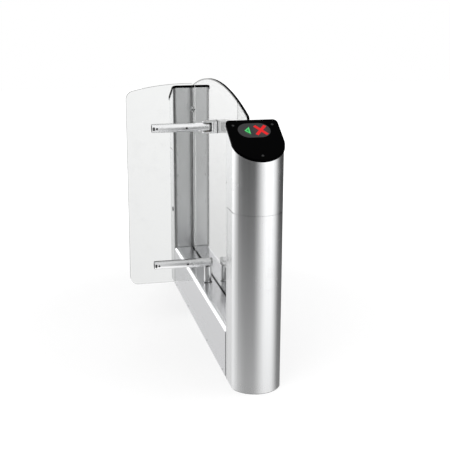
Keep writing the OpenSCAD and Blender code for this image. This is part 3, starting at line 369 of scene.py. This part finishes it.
# painted shade and seams on a post, in metres: painted shade along the filler strip's slot and just above the plinth,
# dark seams at the door's edges, and a painted dark reflection in the inner bends
postShadeAndSeamValues = {"slot": (0.0113, 0.0121), "slotShare": 0.45, "contactShadeFrom": 0.1955, "contactShadeTo": 0.199, "contactShadeShare": 0.5,
              "doorEdge": 0.598, "doorTop": 0.6864, "seamHalf": 0.0013, "left": (-0.091, -0.0935),
              "right": (0.055, 0.075), "seamShare": 0.7, "bendReflection": (0.0785, 0.08), "bendReflectionDepth": (0.5845, 0.583),
              "bendReflectionShare": 0.38, "soft": 0.0006, "colour": (0.03, 0.03, 0.03)}


def nearLine(tree, place, middle, half, soft):
    # 1 within half of the middle, 0 beyond the soft edge
    away = calc(tree, "ABSOLUTE", calc(tree, "SUBTRACT", place, middle))
    return spread(tree, away, half + soft, half)


def postShadeAndSeams(tree, parts, inner, values):
    x, y, z = calc(tree, "ABSOLUTE", parts[0]), calc(tree, "ABSOLUTE", parts[1]), parts[2]
    # painted shade along both edges of the slot on the inner faces
    slot = calc(tree, "MULTIPLY", inner, spread(tree, x, values["slot"][1], values["slot"][0]))
    slot = calc(tree, "MULTIPLY", slot, values["slotShare"])
    # painted contact shade in a thin line just above the plinth
    middle, half = (values["contactShadeFrom"] + values["contactShadeTo"]) / 2, (values["contactShadeTo"] - values["contactShadeFrom"]) / 2
    contactShade = calc(tree, "MULTIPLY", inner, nearLine(tree, z, middle, half, values["soft"]))
    contactShade = calc(tree, "MULTIPLY", contactShade, values["contactShadeShare"])
    below = spread(tree, z, values["doorTop"] + values["seamHalf"], values["doorTop"])
    upright = calc(tree, "MULTIPLY", nearLine(tree, y, values["doorEdge"], values["seamHalf"], values["soft"]), below)
    level = calc(tree, "MULTIPLY", nearLine(tree, z, values["doorTop"], values["seamHalf"], values["soft"]),
                 spread(tree, y, values["doorEdge"] - values["soft"], values["doorEdge"]))
    ends = calc(tree, "MAXIMUM", spread(tree, parts[0], *values["left"]), spread(tree, parts[0], *values["right"]))
    level = calc(tree, "MULTIPLY", level, ends)
    seamAndBendReflection = calc(tree, "MULTIPLY", calc(tree, "MAXIMUM", upright, level), values["seamShare"])
    # painted dark reflection in the rounded inner bends
    bendReflection = calc(tree, "MULTIPLY", spread(tree, x, *values["bendReflection"]), spread(tree, y, *values["bendReflectionDepth"]))
    seamAndBendReflection = calc(tree, "MAXIMUM", seamAndBendReflection, calc(tree, "MULTIPLY", bendReflection, values["bendReflectionShare"]))
    return calc(tree, "MAXIMUM", calc(tree, "MAXIMUM", slot, contactShade), seamAndBendReflection)


def socketShadeMask(tree, parts, values):
    # painted shade: dark discs where screw sockets sit in the end faces of the glass holders
    across = calc(tree, "SUBTRACT", calc(tree, "ABSOLUTE", parts[0]), values["across"])
    rise = calc(tree, "SUBTRACT", parts[2], values["height"])
    reach = calc(tree, "SQRT", calc(tree, "MULTIPLY_ADD", across, across, calc(tree, "MULTIPLY", rise, rise)))
    disc = spread(tree, reach, values["radius"] + values["soft"], values["radius"])
    face = nearLine(tree, calc(tree, "ABSOLUTE", parts[1]), values["face"], values["faceHalf"], values["faceHalf"])
    return calc(tree, "MULTIPLY", disc, face)


# a band's soft edges, in metres, and colour unless its own values say otherwise
bandValues = {"soft": 0.0004, "aboveSoft": 0.001, "colour": (0.02, 0.02, 0.02)}


def bandMask(tree, parts, band):
    # band between two places along one axis, in metres
    middle, half = (band["to"] + band["from"]) / 2, (band["to"] - band["from"]) / 2
    mask = calc(tree, "MULTIPLY", nearLine(tree, parts[band["axis"]], middle, half, band["soft"]), band["share"])
    if "above" in band:
        over = spread(tree, parts[2], band["above"], band["above"] + band["aboveSoft"])
        mask = calc(tree, "MULTIPLY", mask, over)
    return mask


# what the metals share unless their own values say otherwise; the bump's depth is in metres
metalCommon = {"metal": 1.0, "contrast": 0.04, "streak": (0.25, 0.75), "band": (0.3, 0.7), "roughSpread": 0.03,
               "bump": 0.04, "bumpDepth": 0.0001, "even": 0.5, "smudgeSize": 7.0, "smudgeShare": 0.1,
               "smudgeTone": 0.8, "smudgeRough": 0.05, "dust": 0.04, "dustShare": 0.12,
               "dustTone": (0.5, 0.49, 0.47), "dustRough": 0.12, "innerSoft": 0.001, "innerStreak": (0.15, 0.42),
               "innerPaintedLightShare": 0.9}   # "even" is what streaks and bands tend to where the grain is calm


def metalFinish(name, values):
    # drawn or ground metal: streaks along the grain in colour, roughness and height
    values = {**metalCommon, **values}
    material, tree, surface, place = newFinish(name)
    grain = useGroup(tree, grainGroup, Place=place, Stretch=values["stretch"])
    smudge = useGroup(tree, smudgeGroup, Place=place, Size=values["smudgeSize"])["Mask"]
    dust = useGroup(tree, dustGroup, Place=place, Height=values["dust"])["Mask"]
    streak, band = spread(tree, grain["Streak"], *values["streak"]), grain["Band"]
    parts = splitPlace(tree, place)
    if "calm" in values:   # the plinth's top has a finer, evener grain
        calm = calc(tree, "MULTIPLY", spread(tree, parts[2], *values["calm"]["up"]), values["calm"]["share"])
        streak, band = (blendValue(tree, calm, wave, values["even"]) for wave in (streak, band))
        smudge = calc(tree, "MULTIPLY", smudge, calc(tree, "SUBTRACT", 1.0, calm))
    if "inner" in values:   # the faces that look at each other are blasted, not drawn
        inner = spread(tree, calc(tree, "ABSOLUTE", parts[1]), values["inner"] + values["innerSoft"], values["inner"])
        streak = blendValue(tree, inner, streak, calc(tree, "MULTIPLY_ADD", streak, *values["innerStreak"]))
    dark, light = (shadeOf(values["colour"], 1.0 + sign * values["contrast"]) for sign in (-1, 1))
    tone = blendColour(tree, streak, dark, light)
    tone = blendColour(tree, calc(tree, "MULTIPLY", smudge, values["smudgeShare"]), tone,
                       shadeOf(values["colour"], values["smudgeTone"]))
    tone = blendColour(tree, calc(tree, "MULTIPLY", dust, values["dustShare"]), tone, values["dustTone"])
    surface["Metallic"].default_value = values["metal"]
    rough = spread(tree, band, *values["band"], values["rough"] - values["roughSpread"],
                   values["rough"] + values["roughSpread"])
    rough = calc(tree, "ADD", rough, calc(tree, "MULTIPLY", smudge, values["smudgeRough"]))
    rough = calc(tree, "ADD", rough, calc(tree, "MULTIPLY", dust, values["dustRough"]))
    if "inner" in values:
        rough = calc(tree, "MULTIPLY_ADD", inner, values["innerRough"], rough)
        # the inner faces are paler as well: painted light, beside their rougher blasted grain
        tone = blendColour(tree, calc(tree, "MULTIPLY", inner, values["innerPaintedLightShare"]), tone, values["innerPaintedLight"])
        # painted shade by the slot and above the plinth, dark door seams, painted dark reflection in the bends
        tone = blendColour(tree, postShadeAndSeams(tree, parts, inner, values["lines"]), tone, values["lines"]["colour"])
    for paintedStrip in values.get("strips", ()):   # painted shade and a painted highlight along the plinth covers, from their distance from the middle and height
        mask = calc(tree, "MULTIPLY", spread(tree, calc(tree, "ABSOLUTE", parts[0]), *paintedStrip["across"]),
                    spread(tree, parts[2], *paintedStrip["up"]))
        tone = blendColour(tree, mask, tone, paintedStrip["colour"])
    # painted shade of the holders' screw sockets
    if "socketShade" in values:
        tone = blendColour(tree, socketShadeMask(tree, parts, values["socketShade"]), tone, values["socketShade"]["colour"])
    for ring in values.get("bands", ()):
        ring = {**bandValues, **ring}
        tone = blendColour(tree, bandMask(tree, parts, ring), tone, ring["colour"])
    feed(tree, surface["Base Color"], tone)
    feed(tree, surface["Roughness"], rough)
    addBump(tree, surface, streak, values["bump"], values["bumpDepth"])
    return material


collarValues = {"steel": (0.76, 0.765, 0.77), "rubber": (0.015, 0.015, 0.015), "rim": (0.1972, 0.1977),
                "rough": 0.2, "rubberRough": 0.6, "speck": 900.0, "contrast": 0.04, "bump": 0.05,
                "bumpDepth": 0.0001}


def collarFinish(name, values):
    # steel collar, dark, rough and not metallic on top: painted contact shadow at the shaft's foot
    material, tree, surface, place = newFinish(name)
    speck = useGroup(tree, speckGroup, Place=place, Scale=values["speck"])["Mask"]
    # painted contact shadow on the collar's top
    footShadow = spread(tree, splitPlace(tree, place)[2], *values["rim"])
    dark, light = (shadeOf(values["steel"], 1.0 + sign * values["contrast"]) for sign in (-1, 1))
    steel = blendColour(tree, speck, dark, light)
    feed(tree, surface["Base Color"], blendColour(tree, footShadow, steel, values["rubber"]))
    feed(tree, surface["Metallic"], calc(tree, "SUBTRACT", 1.0, footShadow))
    feed(tree, surface["Roughness"], blendValue(tree, footShadow, values["rough"], values["rubberRough"]))
    addBump(tree, surface, speck, values["bump"], values["bumpDepth"])
    return material


# what the coats share unless their own values say otherwise
coatCommon = {"metal": 0.0, "specular": 0.5, "coat": 0.0, "coatRough": 0.08, "contrast": 0.12, "patch": (0.3, 0.7),
              "speck": 700.0, "bump": 0.15, "bumpDepth": 0.0002, "smudgeSize": 9.0, "smudgeRough": 0.08,
              "dust": 0.03, "dustShare": 0.25, "dustTone": (0.35, 0.34, 0.32), "dustRough": 0.2}


def coatFinish(name, values):
    # paint, plastic, rubber: fine specks in height, broad patches in colour and roughness
    values = {**coatCommon, **values}
    material, tree, surface, place = newFinish(name)
    speck = useGroup(tree, speckGroup, Place=place, Scale=values["speck"])
    smudge = useGroup(tree, smudgeGroup, Place=place, Size=values["smudgeSize"])["Mask"]
    dust = useGroup(tree, dustGroup, Place=place, Height=values["dust"])["Mask"]
    dark, light = (shadeOf(values["colour"], 1.0 + sign * values["contrast"]) for sign in (-1, 1))
    tone = blendColour(tree, spread(tree, speck["Patch"], *values["patch"]), dark, light)
    tone = blendColour(tree, calc(tree, "MULTIPLY", dust, values["dustShare"]), tone, values["dustTone"])
    feed(tree, surface["Base Color"], tone)
    rough = calc(tree, "ADD", values["rough"], calc(tree, "MULTIPLY", smudge, values["smudgeRough"]))
    rough = calc(tree, "ADD", rough, calc(tree, "MULTIPLY", dust, values["dustRough"]))
    feed(tree, surface["Roughness"], rough)
    surface["Metallic"].default_value = values["metal"]
    surface["Specular IOR Level"].default_value = values["specular"]
    surface["Coat Weight"].default_value = values["coat"]
    surface["Coat Roughness"].default_value = values["coatRough"]
    addBump(tree, surface, speck["Mask"], values["bump"], values["bumpDepth"])
    return material


glassValues = {"clear": (0.9, 0.907, 0.903), "hazy": (0.87, 0.876, 0.874), "index": 1.5,
               "deep": (0.5, 0.508, 0.504), "grazing": (0.45, 0.8), "rimIndex": 1.03, "thicker": 1.05,
               "rim": (0.0001, 0.00015, 0.00012), "rimRough": 0.3, "rimSpeck": 900.0, "rimUneven": 3.0,
               "smudgeSize": 5.0, "flatFrom": 0.9}
# dark bands of the centre glass, in metres: the arch's middle and radius, the band inside its edge, the foot's height
archValues = {"middle": -0.812, "radius": 1.895, "band": 0.0055, "soft": 0.0004, "foot": (0.2059, 0.2055)}


def glassFinish(name, values):
    # clear float glass with a faint haze where hands and cloths have been
    material, tree, surface, place = newFinish(name)
    smudge = useGroup(tree, smudgeGroup, Place=place, Size=values["smudgeSize"])["Mask"]
    clear = blendColour(tree, smudge, values["clear"], values["hazy"])
    grazing = spread(tree, putNode(tree, "ShaderNodeLayerWeight").outputs["Facing"], *values["grazing"])
    tone = blendColour(tree, grazing, clear, values["deep"])
    if "arch" in values:   # dark bands along the arch's edge and at the foot cover narrow strips of the faces
        arch, (x, y, z) = values["arch"], splitPlace(tree, place)
        rise = calc(tree, "SUBTRACT", z, arch["middle"])
        reach = calc(tree, "MULTIPLY_ADD", y, y, calc(tree, "MULTIPLY", rise, rise))
        edge = arch["radius"] - arch["band"]
        band = spread(tree, calc(tree, "SQRT", reach), edge, edge + arch["soft"])
        foot = spread(tree, z, *arch["foot"])
        tone = blendColour(tree, calc(tree, "MAXIMUM", band, foot), tone, values["rim"])
    feed(tree, surface["Base Color"], tone)
    surface["Roughness"].default_value = 0.0
    surface["Transmission Weight"].default_value = 1.0
    surface["IOR"].default_value = values["index"]
    return material


def rimFinish(name, values):
    # ground rim: dark where it faces outwards, clear where it is seen from inside the pane
    material, tree, surface, place = newFinish(name)
    behind = putNode(tree, "ShaderNodeNewGeometry").outputs["Backfacing"]
    speck = useGroup(tree, speckGroup, Place=place, Scale=values["rimSpeck"])["Mask"]
    ground = blendColour(tree, speck, values["rim"], shadeOf(values["rim"], values["rimUneven"]))
    feed(tree, surface["Base Color"], blendColour(tree, behind, ground, values["clear"]))
    surface["Roughness"].default_value = values["rimRough"]
    surface["Transmission Weight"].default_value = 1.0
    surface["IOR"].default_value = values["rimIndex"]
    return material


def rimSlot(piece, across, finish, values):
    # second slot for the faces that turn away from the pane's own plane
    mesh = piece.data
    mesh.materials.append(finish)
    facing = np.empty(len(mesh.polygons) * 3)
    mesh.polygons.foreach_get("normal", facing)
    flat = np.abs(facing.reshape(-1, 3)[:, across]) > values["flatFrom"]
    mesh.polygons.foreach_set("material_index", np.where(flat, 0, 1).astype(np.int32))


# the lit signs; places and widths on the display in metres
signValues = {
    "greenBright": (0.10, 0.62, 0.19), "greenDeep": (0.0, 0.13, 0.02), "dim": 0.8,
    "red": (0.74, 0.008, 0.01), "redDeep": (0.16, 0.002, 0.003), "dots": (0.0, 0.5), "even": 0.6,
    "led": 0.0021, "arrowTip": -0.036, "arrowBase": -0.016, "middle": 0.056, "stroke": 0.0046, "soft": 0.0006,
    "rough": 0.3, "specular": 0.1, "glow": 1.0,
}


def ledMask(tree, across, down, pitch):
    # round dots on a square grid: the product of two raised cosines
    waves = []
    for place in (across, down):
        wave = calc(tree, "COSINE", calc(tree, "MULTIPLY", place, 2 * math.pi / pitch))
        waves.append(calc(tree, "MULTIPLY_ADD", wave, 0.5, 0.5))
    return calc(tree, "MULTIPLY", waves[0], waves[1])


def arrowDepth(tree, across, down, values, shift=0.0):
    # distance inwards from the nearest edge of the arrow's triangle, negative outside it
    side = calc(tree, "ABSOLUTE", calc(tree, "SUBTRACT", down, values["middle"] + shift))
    slant = calc(tree, "SUBTRACT", calc(tree, "SUBTRACT", across, values["arrowTip"]), side)
    slant = calc(tree, "MULTIPLY", slant, math.sqrt(0.5))
    return calc(tree, "MINIMUM", slant, calc(tree, "SUBTRACT", values["arrowBase"], across))


def signFinish(name, kind, values):
    # a green arrow's outline with a deeper middle, or an even red cross, both with a grid of lit dots
    material, tree, surface, place = newFinish(name)
    spot = useGroup(tree, slopeGroup, Place=place)
    dots = ledMask(tree, spot["Across"], spot["Down"], values["led"])
    if kind == "arrow":
        inside = spread(tree, arrowDepth(tree, spot["Across"], spot["Down"], values),
                        values["stroke"] - values["soft"], values["stroke"] + values["soft"])
        bright = blendColour(tree, dots, shadeOf(values["greenBright"], values["dim"]), values["greenBright"])
        glow = blendColour(tree, inside, bright, values["greenDeep"])
        base = values["greenDeep"]
    else:
        glow = blendColour(tree, spread(tree, dots, *values["dots"]), values["redDeep"], values["red"])
        glow = blendColour(tree, values["even"], glow, values["red"])
        base = values["redDeep"]
    surface["Base Color"].default_value = (*base, 1.0)
    surface["Roughness"].default_value = values["rough"]
    surface["Specular IOR Level"].default_value = values["specular"]
    feed(tree, surface["Emission Color"], glow)
    surface["Emission Strength"].default_value = values["glow"]
    return material


# smoked window with painted reflections of the lit signs: the arrow's ghost and the cross's halo by their places on
# the display, in metres
windowValues = {
    "clean": (0.016, 0.016, 0.017), "smudged": (0.02, 0.02, 0.021), "smudgeSize": 30.0, "rough": 0.22,
    "smudgeRough": 0.1, "specular": 0.19, "glow": 1.0,
    "ghostReflection": (0.002, 0.055, 0.012), "ghostReflectionDown": 0.009, "ghostReflectionEdge": (-0.0015, 0.001),
    "haloReflection": (0.03, 0.002, 0.002), "haloReflectionAcross": 0.025, "haloReflectionDown": 0.004, "haloReflectionEdge": (0.034, 0.018),
}


def windowFinish(name, values, signs):
    # painted reflections of the lit signs glow faintly in the window's thickness, a little below the signs themselves
    material, tree, surface, place = newFinish(name)
    spot = useGroup(tree, slopeGroup, Place=place)
    smudge = useGroup(tree, smudgeGroup, Place=place, Size=values["smudgeSize"])["Mask"]
    depth = arrowDepth(tree, spot["Across"], spot["Down"], signs, values["ghostReflectionDown"])
    right = calc(tree, "SUBTRACT", spot["Across"], values["haloReflectionAcross"])
    lower = calc(tree, "SUBTRACT", spot["Down"], signs["middle"] + values["haloReflectionDown"])
    reach = calc(tree, "MULTIPLY_ADD", right, right, calc(tree, "MULTIPLY", lower, lower))
    haloReflection = spread(tree, calc(tree, "SQRT", reach), *values["haloReflectionEdge"], smooth=True)
    glow = blendColour(tree, spread(tree, depth, *values["ghostReflectionEdge"]), (0.0, 0.0, 0.0), values["ghostReflection"])
    glow = blendColour(tree, haloReflection, glow, values["haloReflection"], how="ADD")
    feed(tree, surface["Emission Color"], glow)
    surface["Emission Strength"].default_value = values["glow"]
    feed(tree, surface["Base Color"], blendColour(tree, smudge, values["clean"], values["smudged"]))
    feed(tree, surface["Roughness"], calc(tree, "MULTIPLY_ADD", smudge, values["smudgeRough"], values["rough"]))
    surface["Specular IOR Level"].default_value = values["specular"]
    return material


# tracks and rows are waves across and down the board, in radians to the metre
boardValues = {"mask": (0.012, 0.11, 0.045), "copper": (0.03, 0.22, 0.09), "tracks": 1900.0, "rows": 420.0,
               "edges": (0.35, 0.6), "rough": 0.35, "trackRough": 0.15, "bump": 0.4, "bumpDepth": 0.0001}


def boardFinish(name, values):
    # green mask with rows of copper tracks under it
    material, tree, surface, place = newFinish(name)
    spot = useGroup(tree, slopeGroup, Place=place)
    track = calc(tree, "COSINE", calc(tree, "MULTIPLY", spot["Across"], values["tracks"]))
    row = calc(tree, "COSINE", calc(tree, "MULTIPLY", spot["Down"], values["rows"]))
    lines = spread(tree, calc(tree, "MULTIPLY", track, row), *values["edges"])
    feed(tree, surface["Base Color"], blendColour(tree, lines, values["mask"], values["copper"]))
    feed(tree, surface["Roughness"], calc(tree, "MULTIPLY_ADD", lines, values["trackRough"], values["rough"]))
    addBump(tree, surface, lines, values["bump"], values["bumpDepth"])
    return material


# how far the grain's noise is squeezed along x, y and z: small along the streaks
upright, lengthwise, sideways = (1100.0, 1100.0, 7.0), (1100.0, 7.0, 1100.0), (7.0, 1100.0, 1100.0)
metalValues = {
    "brushedUpright": {"colour": (0.74, 0.745, 0.75), "stretch": upright, "rough": 0.23, "bump": 0.03, "dust": 0.05,
                       # inner faces: a calmer, rougher grain, and a paler colour that is painted light
                       "inner": 0.5705, "innerRough": 0.07, "innerPaintedLight": (0.9, 0.905, 0.91),
                       "lines": postShadeAndSeamValues},
    "brushedLengthwise": {"colour": (0.654, 0.656, 0.672), "stretch": lengthwise, "rough": 0.24, "bump": 0.03,
                          "calm": {"up": (0.195, 0.1957), "share": 0.85},
                          "strips": [{"across": (0.0086, 0.0081), "up": (0.189, 0.19),   # lip of the slot: painted shade of the slot
                                      "colour": (0.01, 0.01, 0.01)},
                                     {"across": (0.07, 0.083), "up": (0.184, 0.192),   # painted highlight along the outer bend
                                      "colour": (0.92, 0.92, 0.935)}]},
    "brushedSideways": {"colour": (0.82, 0.825, 0.83), "stretch": sideways, "rough": 0.24, "bands": [
        {"axis": 0, "from": -0.0335, "to": -0.02, "share": 0.5},   # dark ends of both arms
        {"axis": 0, "from": -0.038, "to": -0.02, "share": 0.75, "above": 0.5},   # wider and darker on the upper arm: painted shadow inside the fork
        {"axis": 2, "from": 0.307, "to": 0.33, "soft": 0.013, "share": 0.35},   # lower arm: painted shade towards its top
        {"axis": 2, "from": 0.25, "to": 0.287, "soft": 0.006, "share": 0.8,   # and painted light towards its underside
         "colour": (1.0, 1.0, 1.0)}]},
    "shaftSteel": {"colour": (0.76, 0.765, 0.77), "stretch": upright, "rough": 0.3,
                   "bands": [{"axis": 2, "from": 0.271, "to": 0.29, "share": 0.9}]},   # painted shadow on the neck under the lower arm
    "holderSteel": {"colour": (0.76, 0.765, 0.77), "stretch": upright, "rough": 0.2,
                    "socketShade": {"across": 0.0098, "height": 0.89, "radius": 0.0036, "soft": 0.0005,
                                "face": 0.518, "faceHalf": 0.0003, "colour": (0.015, 0.015, 0.015)}},
    "blastedSteel": {"colour": (0.92, 0.925, 0.93), "stretch": upright, "metal": 0.6, "rough": 0.36,
                     "bands": [{"axis": 2, "from": 0.9152, "to": 0.917, "share": 0.5}]},   # upper edge
    "brightSteel": {"colour": (0.72, 0.725, 0.73), "stretch": (500.0, 500.0, 500.0), "contrast": 0.05,
                    "rough": 0.22, "roughSpread": 0.05, "bump": 0.06},
    "lockSteel": {"colour": (0.1, 0.1, 0.102), "stretch": (500.0, 500.0, 500.0), "contrast": 0.05,
                  "rough": 0.28, "roughSpread": 0.05, "bump": 0.06},
    "gearSteel": {"colour": (0.42, 0.42, 0.43), "stretch": (300.0, 300.0, 60.0), "contrast": 0.1,
                  "rough": 0.32, "roughSpread": 0.06, "bump": 0.1},
    "aluminium": {"colour": (0.7, 0.71, 0.72), "stretch": (60.0, 500.0, 500.0), "contrast": 0.05,
                  "rough": 0.33, "roughSpread": 0.05, "bump": 0.08},
    "bronze": {"colour": (0.36, 0.32, 0.26), "stretch": (700.0, 700.0, 700.0), "contrast": 0.12,
               "rough": 0.38, "roughSpread": 0.05, "bump": 0.15},
}
coatValues = {
    "zincCoat": {"colour": (0.32, 0.33, 0.34), "rough": 0.42, "metal": 0.6, "speck": 500.0, "bump": 0.2,
                 "dustShare": 0.3},
    "blackPlate": {"colour": (0.0006, 0.0006, 0.0007), "rough": 0.2, "specular": 0.005, "speck": 900.0,
                   "bump": 0.02, "dustShare": 0.0},
    "darkSteel": {"colour": (0.03, 0.03, 0.031), "rough": 0.35, "metal": 0.7, "bump": 0.1, "dustShare": 0.0},
    "sensorWindow": {"colour": (0.01, 0.008, 0.01), "rough": 0.12, "bump": 0.02, "coat": 0.5},
    "blackRubber": {"colour": (0.022, 0.022, 0.023), "rough": 0.6, "bump": 0.3, "specular": 0.4},
    "deepRubber": {"colour": (0.006, 0.006, 0.006), "rough": 0.6, "bump": 0.3, "specular": 0.2, "dustShare": 0.0},
    "padRubber": {"colour": (0.06, 0.06, 0.061), "rough": 0.6, "bump": 0.3, "specular": 0.4, "dustShare": 0.0},
    "greyRubber": {"colour": (0.15, 0.15, 0.152), "rough": 0.5, "bump": 0.2, "specular": 0.4},
    "blackPlastic": {"colour": (0.025, 0.025, 0.026), "rough": 0.45, "bump": 0.25},
    "greyPlastic": {"colour": (0.33, 0.34, 0.35), "rough": 0.5, "bump": 0.3},
    "blackEnamel": {"colour": (0.02, 0.02, 0.023), "rough": 0.3, "coat": 0.4, "bump": 0.12},
}
finishes = {name: metalFinish(name, values) for name, values in metalValues.items()}
finishes.update({name: coatFinish(name, values) for name, values in coatValues.items()})
finishes["clearGlass"] = glassFinish("clearGlass", glassValues)
deeper = {key: shadeOf(glassValues[key], glassValues["thicker"]) for key in ("clear", "hazy", "deep")}
finishes["tintedGlass"] = glassFinish("tintedGlass", {**glassValues, **deeper, "arch": archValues})
finishes["collarFinish"] = collarFinish("collarFinish", collarValues)
finishes["groundRim"] = rimFinish("groundRim", glassValues)
finishes["arrowSign"] = signFinish("arrowSign", "arrow", signValues)
finishes["crossSign"] = signFinish("crossSign", "cross", signValues)
finishes["displayWindow"] = windowFinish("displayWindow", windowValues, signValues)
finishes["circuitBoard"] = boardFinish("circuitBoard", boardValues)
print("finishes made:", len(finishes))

finishOf = {
    "brushedUpright": "near_post_shell far_post_shell near_door far_door",
    "brushedLengthwise": "left_plinth_cover right_plinth_cover",
    "brushedSideways": "upper_arm lower_arm",
    "shaftSteel": "drive_shaft",
    "holderSteel": "glass_holders",
    "blastedSteel": "hinge_fork fork_backing_plate",
    "lockSteel": "lock_barrels near_lock_plug far_lock_plug",
    "brightSteel": "post_fixing_screws cover_screws holder_fixings fork_bolts "
                   "hinge_pin block_bolts bearing_outer_rings bearing_inner_rings bearing_balls",
    "gearSteel": "drive_pinion shaft_gear",
    "aluminium": "glass_channel drive_plate lower_bearing_block gearbox power_supply",
    "bronze": "hinge_bushes",
    "zincCoat": "base_plate edge_bars post_brackets channel_brackets drive_pillars stop_lever",
    "blackPlate": "near_top_plate far_top_plate",
    "darkSteel": "top_plate_screws arm_screws",
    "sensorWindow": "sensor_lenses",
    "greyRubber": "post_strips",
    "deepRubber": "glass_gasket",
    "padRubber": "fork_pads",
    "collarFinish": "shaft_collar",
    "blackRubber": "stop_buffers arm_liners",
    "blackPlastic": "arm_inserts",
    "greyPlastic": "control_box",
    "blackEnamel": "drive_motor motor_brake",
    "clearGlass": "wing_glass",
    "tintedGlass": "centre_glass",
    "arrowSign": "arrow_lenses",
    "crossSign": "cross_lenses",
    "displayWindow": "near_display_window far_display_window",
    "circuitBoard": "display_boards",
}
for finish, names in finishOf.items():
    for name in names.split():
        piece = nodes[name]
        piece.data.materials.clear()
        piece.data.materials.append(finishes[finish])
rimSlot(nodes["centre_glass"], 0, finishes["groundRim"], glassValues)
rimSlot(nodes["wing_glass"], 1, finishes["groundRim"], glassValues)
print("finishes given to", sum(len(names.split()) for names in finishOf.values()), "pieces")
